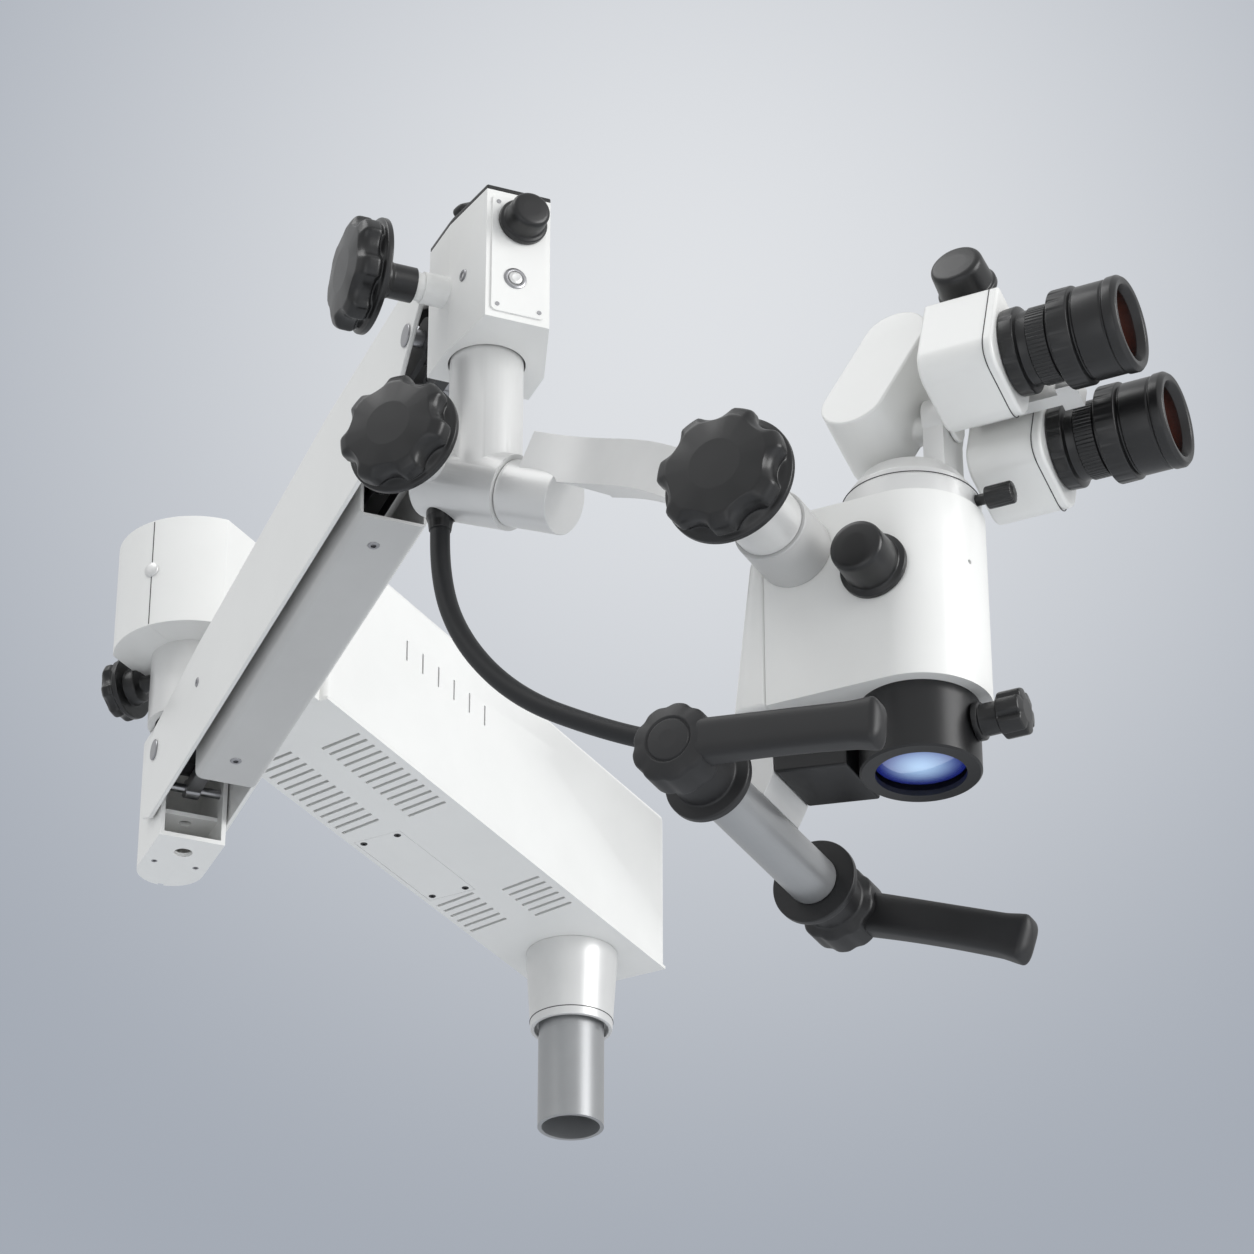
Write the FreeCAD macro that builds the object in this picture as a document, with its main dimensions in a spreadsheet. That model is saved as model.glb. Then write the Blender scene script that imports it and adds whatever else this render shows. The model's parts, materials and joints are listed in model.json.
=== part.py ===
"""Surgical microscope on a balanced swing arm, in millimetres.

The column's cut foot is the origin, +Z is up and +X runs along the base arm from the
column to its far pivot. Each group of pieces is drawn in a frame of its own: the base
arm, the knuckle, the spring arm, the head, the yoke, the roll axis, the microscope and
the binocular tube. A size is a formula over the cells of one sheet.
"""
import FreeCAD, Part
import math
import os
import re

import Sketcher
from FreeCAD import Placement, Rotation, Vector

# Driving sizes, in millimetres and degrees.
SIZES = {
    # column and collar
    "column_radius": 24.5,
    "column_wall": 3,
    "column_top": 100,
    "foot_length": 72,
    "foot_step": 0.3,
    "spigot_radius": 15,
    "spigot_top": 196,
    "collar_low": 78,
    "collar_radius_low": 30.5,
    "collar_radius_high": 34.5,
    "collar_shadow_depth": 7,
    "collar_shadow_gap": 3,
    "bush_wall": 4,
    "bush_length": 18,
    "running_gap": 0.06,
    # base arm
    "box_bottom": 140,
    "box_height": 130,
    "box_back": 55,
    "box_front": 424,
    "box_half": 50,
    "sheet_wall": 2.5,
    "box_corner": 5,
    "beam_half": 20,
    "beam_height": 34,
    "beam_wall": 5,
    "boss_radius": 27,
    "reach": 511,
    "nose_half": 43.6,
    "nose_radius": 53.5,
    "nose_height": 80,
    "nose_flat": 31,
    "neck_radius": 28,
    "neck_low": 89.5,
    "neck_wall": 5,
    "neck_rim": 8,
    "vent_length": 34,
    "vent_width": 3,
    "vent_pitch": 9.5,
    "vent_count": 13,
    "rear_vent_count": 6,
    "side_vent_count": 6,
    "side_vent_pitch": 21.5,
    "side_vent_height": 16,
    "side_vent_width": 2,
    "hatch_length": 105,
    "hatch_width": 38,
    "hatch_start": 130,
    "hatch_hole_radius": 2.6,
    "supply_length": 150,
    "supply_width": 70,
    "supply_height": 60,
    # knobs
    "star_radius": 33,
    "star_depth": 18,
    "star_flange": 3.5,
    "scallop_radius": 12,
    "scallop_reach": 40,
    "stem_radius": 6,
    "lock_radius": 21,
    "lock_height": 132,
    "lock_reach": 48,
    # knuckle and spring arm
    "arm_heading": 51,
    "arm_rise": 3.03,
    "pivot_forward": 12,
    "pivot_height": 61,
    "arm_length": 483,
    "bracket_low": -3.3,
    "bracket_half": 22,
    "bracket_back": 28,
    "bracket_front": 20,
    "bracket_wall": 3,
    "bracket_top": 88.5,
    "bracket_hole": 6,
    "pin_radius": 5,
    "pin_head_radius": 7,
    "plate_inner": 23.5,
    "plate_wall": 3,
    "arm_beam_half": 17,
    "arm_beam_low": -12,
    "arm_beam_high": 12,
    "arm_beam_wall": 3,
    "lug_radius": 13,
    "cover_start": 66,
    "cover_end": 382,
    "cover_near": 18,
    "cover_far": 23,
    "cover_low": -56,
    "cover_screw": 28,
    "cover_hole": 2.5,
    "cover_wall": 2,
    "link_drop": 24,
    "link_half": 4,
    "link_width": 5,
    "link_pin_radius": 3,
    "link_gap": 0.25,
    "spring_radius": 8,
    # head
    "head_forward": 61.4,
    "head_low": -51,
    "head_high": 36,
    "head_front": 47,
    "head_back": 24,
    "head_front_half": 18.75,
    "head_left_half": 26.5,
    "head_right_half": 34,
    "head_wall": 3,
    "head_frame_half": 13,
    "cap_plate": 3,
    "panel_depth": 1.2,
    "tongue_radius": 14,
    "small_knob_flange": 14,
    "small_knob_radius": 11,
    "small_knob_depth": 17,
    "button_radius": 4,
    "button_travel": 1.5,
    "sleeve_radius": 9,
    "sleeve_length": 13,
    "sleeve_nut": 4.5,
    # yoke, roll shaft and cross arm
    "tube_radius": 21,
    "elbow_drop": 130.7,
    "yoke_turn": 41.3,
    "yoke_spigot_radius": 11,
    "roll_decline": 24,
    "roll_seam": 19,
    "roll_stub": 36,
    "roll_journal": 14,
    "roll_shaft_radius": 18.5,
    "roll_shaft_end": 54,
    "roll_gap": 0.4,
    "yoke_knob_back": 25,
    "knob_boss_radius": 10,
    "yoke_knob_reach": 48,
    "cable_radius": 5.5,
    "gland_radius": 8,
    "gland_length": 12,
    "cross_height": 28,
    "cross_wall": 15,
    # microscope
    "scope_reach": 250,
    "scope_drop": 199.1,
    "body_radius": 37.5,
    "body_top": 107,
    "body_wall": 3,
    "cover_seam": 67,
    "body_back": 87,
    "back_top": 85,
    "slope_start": 40,
    "pitch_back": 49,
    "pitch_height": 84,
    "pitch_collar_radius": 20,
    "pitch_collar_end": 69,
    "pitch_stem_radius": 18,
    "pitch_stem_end": 113.5,
    "pitch_journal": 12,
    "pitch_journal_start": 30,
    "tilt_knob_radius": 35,
    "barrel_radius": 30.75,
    "barrel_low": 37,
    "barrel_wall": 3.5,
    "lens_radius": 23,
    "lens_bulge": 4,
    "cell_length": 16,
    "lamp_low": 34,
    "lamp_back": 72,
    "bracket_bend": 29,
    "bracket_side": 21,
    "ring_radius": 36,
    "ring_height": 11,
    "ring_bore": 29,
    "bar_radius": 13.35,
    "bar_back": 87,
    "bar_drop": 49,
    "bar_half": 61,
    "handle_flange": 23,
    "hub_radius": 16,
    "hub_end": 109,
    "hub_head_radius": 21,
    "grip_length": 111,
    "grip_height": 25,
    "grip_width": 17,
    "near_grip_dip": 4,
    "far_grip_dip": 18,
    # binocular tube
    "bino_forward": 5.5,
    "bino_height": 162.5,
    "bino_roll": 19,
    "pill_low_x": -21,
    "pill_low_z": -7,
    "pill_high_x": -3.5,
    "pill_high_z": 40,
    "pill_radius": 18,
    "pill_near": -36,
    "pill_far": 7,
    "drum_radius": 15,
    "drum_start": 7.5,
    "drum_end": 19,
    "eye_half": 33,
    "prism_start": 24.5,
    "prism_end": 66,
    "prism_half": 25.5,
    "prism_low": -26.5,
    "bridge_start": 30,
    "bridge_end": 54,
    "bridge_low": 26,
    "bridge_high": 62,
    "ipd_x": 42,
    "ipd_z": 47,
    "ipd_flange": 16,
    "ipd_reach": 46,
    "eye_collar": 23,
    "eye_barrel": 19.5,
    "diopter_radius": 26,
    "eye_body": 24.5,
    "eye_cup": 25.25,
    "eye_opening": 18,
    "side_vent_start": 216,
    "side_vent_low": 219,
    "vent_start": 250,
    "vent_slant": 6,
    "rear_vent_start": 70,
    "far_vent_side": -46,
    "near_vent_side": 9,
    "hatch_side": -46,
    "hatch_gap": 0.3,
    "supply_start": 90,
    "bracket_shelf_height": 18,
    "spring_start": 60,
    "spring_end": 300,
    "cover_corner": 5,
    "head_low_tongue": 36,
    "sleeve_x": 0,
    "sleeve_z": -9,
    "button_y": -2,
    "button_z": -24,
    "front_knob_y": 1.4,
    "front_knob_z": 13.4,
    "side_knob_reach": 67,
    "side_hub_radius": 10,
    "top_knob_radius": 23,
    "top_knob_depth": 12,
    "gland_top": -8,
    "gland_back": -27,
    "top_fall": 0.55,
    "pitch_spigot": 16,
    "zoom_x": -5.6,
    "zoom_z": 64,
    "rear_corner": 7,
    "focus_drop": 15,
    "axle_radius": 8,
    "hub_head_start": 88,
    "grip_curve": 6,
    "roll_pin": 6.5,
    "hinge_pin": 5,
    "rail_start": 36,
    "rail_end": 48,
    "prism_corner": 13,
}

doc = FreeCAD.newDocument("surgical_microscope")
sheet = doc.addObject("Spreadsheet::Sheet", "Sizes")
for row, (alias, amount) in enumerate(SIZES.items(), start=1):
    sheet.set(f"A{row}", alias)
    sheet.set(f"B{row}", str(amount))
    sheet.setAlias(f"B{row}", alias)
doc.recompute()

WORD = re.compile(r"[a-z][a-z_]*")
TURNS = {
    "x": Rotation(Vector(0, 1, 0), 90),
    "y": Rotation(Vector(1, 0, 0), -90),
    "z": Rotation(),
}
LETTERS = {"x": "yz", "y": "xz", "z": "xy"}
STAR_LOBES = 7
pieces = []


def formula(text):
    """Return the text with each size's name pointing at its cell."""
    return WORD.sub(lambda found: f"Sizes.{found[0]}" if found[0] in SIZES else found[0], text)


def value(text):
    """Return the number that a formula over the sheet gives now."""
    return float(sheet.evalExpression(formula(text)))


def piece(label, item, frame):
    """Name a finished sub-part and note the frame that it is drawn in."""
    item.Label = label
    pieces.append((item, frame))
    return item


def place(item, axis, along, at):
    """Bind where a round primitive starts along its axis, and its other two coordinates."""
    item.Placement = Placement(Vector(), TURNS[axis])
    item.setExpression(f"Placement.Base.{axis}", formula(along))
    for letter, text in zip(LETTERS[axis], at):
        item.setExpression(f"Placement.Base.{letter}", formula(text))


def box(name, x, y, z):
    """Make a box from three pairs of formulas, each from and to."""
    item = doc.addObject("Part::Box", name)
    for side, letter, (start, end) in zip(("Length", "Width", "Height"), "xyz", (x, y, z)):
        item.setExpression(side, formula(f"({end}) - ({start})"))
        item.setExpression(f"Placement.Base.{letter}", formula(start))
    return item


def rod(name, radius, axis, along, at=("0", "0")):
    """Make a cylinder along an axis between two stations."""
    item = doc.addObject("Part::Cylinder", name)
    item.setExpression("Radius", formula(radius))
    item.setExpression("Height", formula(f"({along[1]}) - ({along[0]})"))
    place(item, axis, along[0], at)
    return item


def fuse(name, *items):
    """Join shapes to one solid."""
    item = doc.addObject("Part::MultiFuse", name)
    item.Shapes = list(items)
    item.Refine = True
    return item


def cut(name, base, *tools):
    """Take one or more tools out of a base."""
    item = doc.addObject("Part::Cut", name)
    item.Base = base
    item.Tool = tools[0] if len(tools) == 1 else fuse(f"{name}_tools", *tools)
    item.Refine = True
    return item


def common(name, first, second):
    """Keep what two shapes share."""
    item = doc.addObject("Part::Common", name)
    item.Base = first
    item.Tool = second
    item.Refine = True
    return item


def group(name, *items):
    """Keep several separate solids as one sub-part."""
    item = doc.addObject("Part::Compound", name)
    item.Links = list(items)
    return item


def soften(name, item, radius, chosen):
    """Round the edges whose middle point and direction the test picks."""
    doc.recompute()
    numbers = []
    for number, edge in enumerate(item.Shape.Edges, start=1):
        middle = edge.valueAt((edge.FirstParameter + edge.LastParameter) / 2)
        way = edge.tangentAt((edge.FirstParameter + edge.LastParameter) / 2)
        if chosen(middle, way):
            numbers.append(number)
    rounded = doc.addObject("Part::Fillet", name)
    rounded.Base = item
    rounded.Edges = [(number, radius, radius) for number in numbers]
    return rounded


def sketch_on(body, name, plane, offset):
    """Attach a sketch to one of the body's own planes, moved along its normal."""
    sketch = body.newObject("Sketcher::SketchObject", name)
    role = f"{plane.upper()}_Plane"
    origin = next(item for item in body.Origin.OriginFeatures if item.Role == role)
    sketch.AttachmentSupport = (origin, [""])
    sketch.MapMode = "FlatFace"
    sketch.setExpression("AttachmentOffset.Base.z", formula(offset))
    return sketch


def outline(sketch, points):
    """Draw a closed outline of straight lines and bind each corner to its formulas."""
    corners = [Vector(value(u), value(v), 0) for u, v in points]
    count = len(corners)
    for number, corner in enumerate(corners):
        sketch.addGeometry(Part.LineSegment(corner, corners[(number + 1) % count]))
    for number in range(count):
        after = (number + 1) % count
        sketch.addConstraint(Sketcher.Constraint("Coincident", number, 2, after, 1))
    for number, (corner, texts) in enumerate(zip(corners, points)):
        for kind, amount, text in zip(("DistanceX", "DistanceY"), (corner.x, corner.y), texts):
            index = sketch.addConstraint(Sketcher.Constraint(kind, -1, 1, number, 1, amount))
            sketch.setExpression(f"Constraints[{index}]", formula(text))


def prism(name, plane, points, along):
    """Pad an outline on a plane: xy runs up, yz runs forward and xz runs sideways."""
    body = doc.addObject("PartDesign::Body", name)
    sideways = plane == "xz"
    offset = f"-({along[0]})" if sideways else along[0]
    sketch = sketch_on(body, f"{name}_outline", plane, offset)
    outline(sketch, points)
    pad = body.newObject("PartDesign::Pad", f"{name}_pad")
    pad.Profile = sketch
    pad.setExpression("Length", formula(f"({along[1]}) - ({along[0]})"))
    pad.Reversed = sideways
    return body


def turned(name, profile, axis="z", at=("0", "0"), start="0"):
    """Revolve a profile of (radius, station) corners about an axis."""
    body = doc.addObject("PartDesign::Body", name)
    sketch = sketch_on(body, f"{name}_profile", "xz", "0")
    outline(sketch, profile)
    turn = body.newObject("PartDesign::Revolution", f"{name}_turn")
    turn.Profile = sketch
    turn.ReferenceAxis = (sketch, ["V_Axis"])
    turn.Angle = 360
    place(body, axis, start, at)
    return body


def slotted(body, name, plane, offset, points, depth, way, count, pitch):
    """Cut one slot through a body's face and repeat it in a row."""
    sketch = sketch_on(body, f"{name}_outline", plane, offset)
    outline(sketch, points)
    pocket = body.newObject("PartDesign::Pocket", f"{name}_pocket")
    pocket.Profile = sketch
    pocket.setExpression("Length", formula(depth))
    pocket.Midplane = True
    row = body.newObject("PartDesign::LinearPattern", f"{name}_row")
    row.Originals = [pocket]
    row.Direction = (sketch, [way])
    row.setExpression("Length", formula(f"({pitch}) * ({count} - 1)"))
    row.setExpression("Occurrences", formula(count))
    body.Tip = row


def star(name, radius, reach, depth="star_depth", stem="stem_radius", stem_start="0"):
    """Make a seven-lobed knob on a round flange, with its stem, along +Z of its frame.

    The flange lies at the reach, and the stem runs from its start to the flange.
    """
    body = turned(
        name,
        [
            ("0", stem_start),
            (stem, stem_start),
            (stem, reach),
            (radius, reach),
            (radius, f"{reach} + star_flange"),
            (f"{radius} - 1", f"{reach} + star_flange + 1"),
            (f"{radius} - 1", f"{reach} + {depth} - 4"),
            (f"{radius} - 5", f"{reach} + {depth}"),
            ("0", f"{reach} + {depth} + 2"),
        ],
    )
    share = f"{radius} / star_radius"
    sketch = sketch_on(body, f"{name}_scallop", "xy", f"{reach} + star_flange")
    centre = Vector(value(f"scallop_reach * {share}"), 0, 0)
    sketch.addGeometry(Part.Circle(centre, Vector(0, 0, 1), value(f"scallop_radius * {share}")))
    reach_rule = sketch.addConstraint(Sketcher.Constraint("DistanceX", -1, 1, 0, 3, centre.x))
    sketch.addConstraint(Sketcher.Constraint("PointOnObject", 0, 3, -1))
    width_rule = sketch.addConstraint(
        Sketcher.Constraint("Radius", 0, value(f"scallop_radius * {share}"))
    )
    sketch.setExpression(f"Constraints[{reach_rule}]", formula(f"scallop_reach * {share}"))
    sketch.setExpression(f"Constraints[{width_rule}]", formula(f"scallop_radius * {share}"))
    pocket = body.newObject("PartDesign::Pocket", f"{name}_pocket")
    pocket.Profile = sketch
    pocket.Reversed = True
    pocket.setExpression("Length", formula(f"{depth} + 4"))
    ring = body.newObject("PartDesign::PolarPattern", f"{name}_lobes")
    ring.Originals = [pocket]
    ring.Axis = (sketch, ["N_Axis"])
    ring.Angle = 360
    ring.Occurrences = STAR_LOBES
    body.Tip = ring
    return body


def cap_knob(name, flange, radius, start, depth, shaft="3", shaft_start="-8"):
    """Make a smooth round knob on a flange, with its shaft, along +Z of its frame."""
    return turned(
        name,
        [
            ("0", f"{start} + {shaft_start}"),
            (shaft, f"{start} + {shaft_start}"),
            (shaft, start),
            (flange, start),
            (flange, f"{start} + 3"),
            (f"{flange} - 0.5", f"{start} + 3.5"),
            (f"{radius} + 1", f"{start} + 3.5"),
            (radius, f"{start} + {depth} - 2"),
            (f"{radius} - 2", f"{start} + {depth}"),
            ("0", f"{start} + {depth}"),
        ],
    )


def moved(item, frame):
    """Move a shape by a frame, on top of the place that it has now."""
    local = item.Placement
    for path, _ in list(item.ExpressionEngine):
        if "Placement" in path:
            item.setExpression(path.lstrip("."), None)
    item.Placement = frame * local
    return item


def at(x, y, z):
    """Return a placement that only moves, from three formulas."""
    return Placement(Vector(value(x), value(y), value(z)), Rotation())


def turn(axis, degrees):
    """Return a placement that only turns."""
    return Placement(Vector(), Rotation(axis, degrees))


X_AXIS = Vector(1, 0, 0)
Y_AXIS = Vector(0, 1, 0)
Z_AXIS = Vector(0, 0, 1)
TO_NEAR = turn(X_AXIS, 90)
TO_FAR = turn(X_AXIS, -90)
TO_FRONT = turn(Y_AXIS, 90)

BASE = Placement()
KNUCKLE = at("reach", "0", "0") * turn(Z_AXIS, value("arm_heading"))
ARM = KNUCKLE * at("pivot_forward", "0", "pivot_height") * turn(Y_AXIS, -value("arm_rise"))
UPPER_PIVOT = ARM * at("arm_length", "0", "0") * turn(Y_AXIS, value("arm_rise"))
HEAD = UPPER_PIVOT * at("head_forward", "0", "0")
YOKE = HEAD * at("0", "0", "-elbow_drop") * turn(Z_AXIS, value("yoke_turn"))
ROLL = YOKE * turn(Y_AXIS, value("roll_decline"))
SCOPE = YOKE * at("scope_reach", "0", "-scope_drop")
BINO = SCOPE * at("bino_forward", "0", "bino_height") * turn(X_AXIS, -value("bino_roll"))


def stand():
    """Make the column tube, whose top narrows to the spigot that the base arm turns on."""
    tube = turned(
        "column_tube",
        [
            ("column_radius - column_wall", "0"),
            ("column_radius", "0"),
            ("column_radius", "foot_length"),
            ("column_radius - foot_step", "foot_length"),
            ("column_radius - foot_step", "column_top"),
            ("spigot_radius", "column_top"),
            ("spigot_radius", "spigot_top"),
            ("0", "spigot_top"),
            ("0", "column_top - 8"),
            ("column_radius - column_wall", "column_top - 8"),
        ],
    )
    piece("column_tube", tube, BASE)


def collar():
    """Make the cone-shaped collar and the bushes that both vertical pivots run in."""
    bore = "spigot_radius + bush_wall"
    body = turned(
        "collar_sleeve",
        [
            ("column_radius + collar_shadow_gap", "collar_low"),
            ("collar_radius_low", "collar_low"),
            ("collar_radius_high", "box_bottom"),
            (bore, "box_bottom"),
            (bore, "column_top + 1"),
            ("column_radius - foot_step + running_gap", "column_top + 1"),
            ("column_radius - foot_step + running_gap", "collar_low + collar_shadow_depth"),
            ("column_radius + collar_shadow_gap", "collar_low + collar_shadow_depth"),
        ],
    )
    piece("collar_sleeve", body, BASE)
    bushes = []
    stations = (
        ("0", "box_bottom - bush_length - 2"),
        ("0", "box_bottom + 12"),
        ("reach", "neck_low + neck_rim + 4"),
        ("reach", "box_bottom + 12"),
    )
    for number, (across, low) in enumerate(stations):
        outer = rod(f"bush_{number}", bore, "z", (low, f"{low} + bush_length"), (across, "0"))
        hole = rod(
            f"bush_bore_{number}",
            "spigot_radius + running_gap",
            "z",
            (f"{low} - 1", f"{low} + bush_length + 1"),
            (across, "0"),
        )
        bushes.append(cut(f"bush_ring_{number}", outer, hole))
    piece("swivel_bushes", group("swivel_bushes", *bushes), BASE)


def base_beam():
    """Make the beam inside the base arm, with a boss over each vertical pivot."""
    channel = box(
        "beam_block",
        ("0", "reach"),
        ("-beam_half", "beam_half"),
        ("box_bottom + 6", "box_bottom + beam_height"),
    )
    hollow = box(
        "beam_hollow",
        ("boss_radius", "reach - boss_radius"),
        ("beam_wall - beam_half", "beam_half - beam_wall"),
        ("box_bottom + 6 + beam_wall", "box_bottom + beam_height + 1"),
    )
    bosses = []
    bores = []
    for name, across in (("column", "0"), ("far", "reach")):
        span = ("box_bottom", "box_bottom + beam_height")
        bosses.append(rod(f"boss_{name}", "boss_radius", "z", span, (across, "0")))
        wide = ("box_bottom - 1", "box_bottom + beam_height + 1")
        bores.append(
            rod(f"boss_bore_{name}", "spigot_radius + bush_wall", "z", wide, (across, "0"))
        )
    frame = fuse("beam_frame", cut("beam_channel", channel, hollow), *bosses)
    piece("base_beam", cut("base_beam", frame, *bores), BASE)


def base_casing():
    """Make the box cover, its slotted floor, the hatch in the floor and the power supply."""
    outer = box(
        "housing_block",
        ("-box_back", "box_front"),
        ("-box_half", "box_half"),
        ("box_bottom + sheet_wall", "box_bottom + box_height"),
    )
    outer = soften("housing_rounded", outer, value("box_corner"), top_or_upright)
    inner = box(
        "housing_hollow",
        ("sheet_wall - box_back", "box_front - sheet_wall"),
        ("sheet_wall - box_half", "box_half - sheet_wall"),
        ("box_bottom", "box_bottom + box_height - sheet_wall"),
    )
    mouth = box(
        "housing_mouth",
        ("box_front - sheet_wall - 1", "box_front + 1"),
        ("-beam_half - 0.5", "beam_half + 0.5"),
        ("box_bottom", "box_bottom + beam_height + 1"),
    )
    slots = []
    for number in range(int(value("side_vent_count"))):
        start = f"side_vent_start + {number} * side_vent_pitch"
        slots.append(
            box(
                f"side_vent_{number}",
                (start, f"{start} + side_vent_width"),
                ("box_half - sheet_wall - 1", "box_half + 1"),
                ("side_vent_low", "side_vent_low + side_vent_height"),
            )
        )
    piece("base_housing", cut("base_housing", outer, inner, mouth, *slots), BASE)

    floor = prism(
        "floor_sheet",
        "xy",
        [
            ("-box_back", "-box_half"),
            ("box_front", "-box_half"),
            ("box_front", "box_half"),
            ("-box_back", "box_half"),
        ],
        ("box_bottom", "box_bottom + sheet_wall"),
    )
    rows = (
        ("far_vents", "vent_start", "far_vent_side", "vent_count"),
        ("near_vents", "vent_start", "near_vent_side", "vent_count"),
        ("far_rear_vents", "rear_vent_start", "far_vent_side", "rear_vent_count"),
        ("near_rear_vents", "rear_vent_start", "near_vent_side", "rear_vent_count"),
    )
    for name, start, side, count in rows:
        corners = [
            (start, side),
            (f"{start} + vent_width", side),
            (f"{start} + vent_width + vent_slant", f"{side} + vent_length"),
            (f"{start} + vent_slant", f"{side} + vent_length"),
        ]
        slotted(floor, name, "xy", "box_bottom", corners, "sheet_wall * 4", "H_Axis", count,
                "vent_pitch")
    hatch_span = ("hatch_start", "hatch_start + hatch_length")
    hatch_sides = ("hatch_side", "hatch_side + hatch_width")
    opening = box(
        "hatch_opening",
        ("hatch_start - hatch_gap", "hatch_start + hatch_length + hatch_gap"),
        ("hatch_side - hatch_gap", "hatch_side + hatch_width + hatch_gap"),
        ("box_bottom - 1", "box_bottom + sheet_wall + 1"),
    )
    boss_hole = rod(
        "floor_boss_hole",
        "boss_radius",
        "z",
        ("box_bottom - 1", "box_bottom + sheet_wall + 1"),
    )
    piece("base_floor", cut("base_floor", floor, opening, boss_hole), BASE)

    plate = box("hatch_plate", hatch_span, hatch_sides, ("box_bottom", "box_bottom + sheet_wall"))
    rim = box(
        "hatch_rim",
        ("hatch_start - 5", "hatch_start + hatch_length + 5"),
        ("hatch_side - 1", "hatch_side + hatch_width + 5"),
        ("box_bottom + sheet_wall", "box_bottom + sheet_wall + 1.5"),
    )
    holes = []
    for end in ("hatch_start + 5", "hatch_start + hatch_length - 5"):
        for side in ("hatch_side + 5", "hatch_side + hatch_width - 5"):
            number = len(holes)
            span = ("box_bottom - 1", "box_bottom + sheet_wall + 3")
            holes.append(rod(f"hatch_hole_{number}", "hatch_hole_radius", "z", span, (end, side)))
    cover = cut("service_hatch", fuse("hatch_cover", plate, rim), *holes)
    piece("service_hatch", cover, BASE)

    case = box(
        "supply_case",
        ("supply_start", "supply_start + supply_length"),
        ("-supply_width / 2", "supply_width / 2"),
        ("box_bottom + beam_height", "box_bottom + beam_height + supply_height"),
    )
    fins = []
    for number in range(7):
        side = f"-supply_width / 2 + 6 + {number} * 9"
        fins.append(
            box(
                f"supply_groove_{number}",
                ("supply_start - 1", "supply_start + supply_length + 1"),
                (side, f"{side} + 4"),
                (
                    "box_bottom + beam_height + supply_height - 8",
                    "box_bottom + beam_height + supply_height + 1",
                ),
            )
        )
    piece("power_supply", cut("power_supply", case, *fins), BASE)


def top_or_upright(middle, way):
    """Pick the upright edges and those round the top face of the housing."""
    return abs(way.z) > 0.9 or middle.z > value("box_bottom + box_height") - 0.1


def nose():
    """Make the two nose shells round the far pivot, the neck under them and its lock knob."""

    def bulk(name, inset, floor, roof):
        """Make the nose's outline, drawn in by an inset."""
        disc = rod(f"{name}_disc", f"nose_radius - {inset}", "z", (floor, roof), ("reach", "0"))
        band = box(
            f"{name}_band",
            ("reach", "reach + nose_radius"),
            (f"{inset} - nose_half", f"nose_half - {inset}"),
            (floor, roof),
        )
        back = box(
            f"{name}_back",
            (f"box_front - {inset}", "reach + nose_flat"),
            (f"{inset} - nose_half", f"nose_half - {inset}"),
            (floor, roof),
        )
        return fuse(f"{name}_bulk", common(f"{name}_front", disc, band), back)

    low = "box_bottom"
    high = "box_bottom + nose_height"
    for side, sides in (("left", ("0", "nose_half")), ("right", ("-nose_half", "0"))):
        outer = bulk(f"nose_{side}", "0", low, high)
        inner = bulk(f"nose_{side}_hollow", "sheet_wall", f"{low} + sheet_wall",
                     f"{high} - sheet_wall")
        hole = rod(
            f"nose_{side}_hole", "boss_radius", "z", (f"{low} - 1", f"{low} + 5"), ("reach", "0")
        )
        half = box(f"nose_{side}_half", ("box_front", "reach + nose_radius + 1"), sides,
                   (low, high))
        shell = common(f"nose_shell_{side}", cut(f"nose_{side}_shell", outer, inner, hole), half)
        piece(f"nose_shell_{side}", shell, BASE)

    bore = "spigot_radius + bush_wall"
    sleeve = turned(
        "neck_sleeve_turned",
        [
            ("neck_radius - neck_wall", "neck_low"),
            ("neck_radius", "neck_low"),
            ("neck_radius", "box_bottom"),
            (bore, "box_bottom"),
            (bore, "neck_low + neck_rim"),
            ("neck_radius - neck_wall", "neck_low + neck_rim"),
        ],
        at=("reach", "0"),
    )
    thread = rod(
        "neck_thread",
        "stem_radius + running_gap",
        "y",
        ("-neck_radius - 1", "-spigot_radius"),
        ("reach", "lock_height"),
    )
    piece("neck_sleeve", cut("neck_sleeve", sleeve, thread), BASE)
    knob = star("arm_lock_knob", "lock_radius", "lock_reach", stem_start="spigot_radius + 5")
    piece("arm_lock_knob", knob, at("reach", "0", "lock_height") * TO_NEAR)


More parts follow.
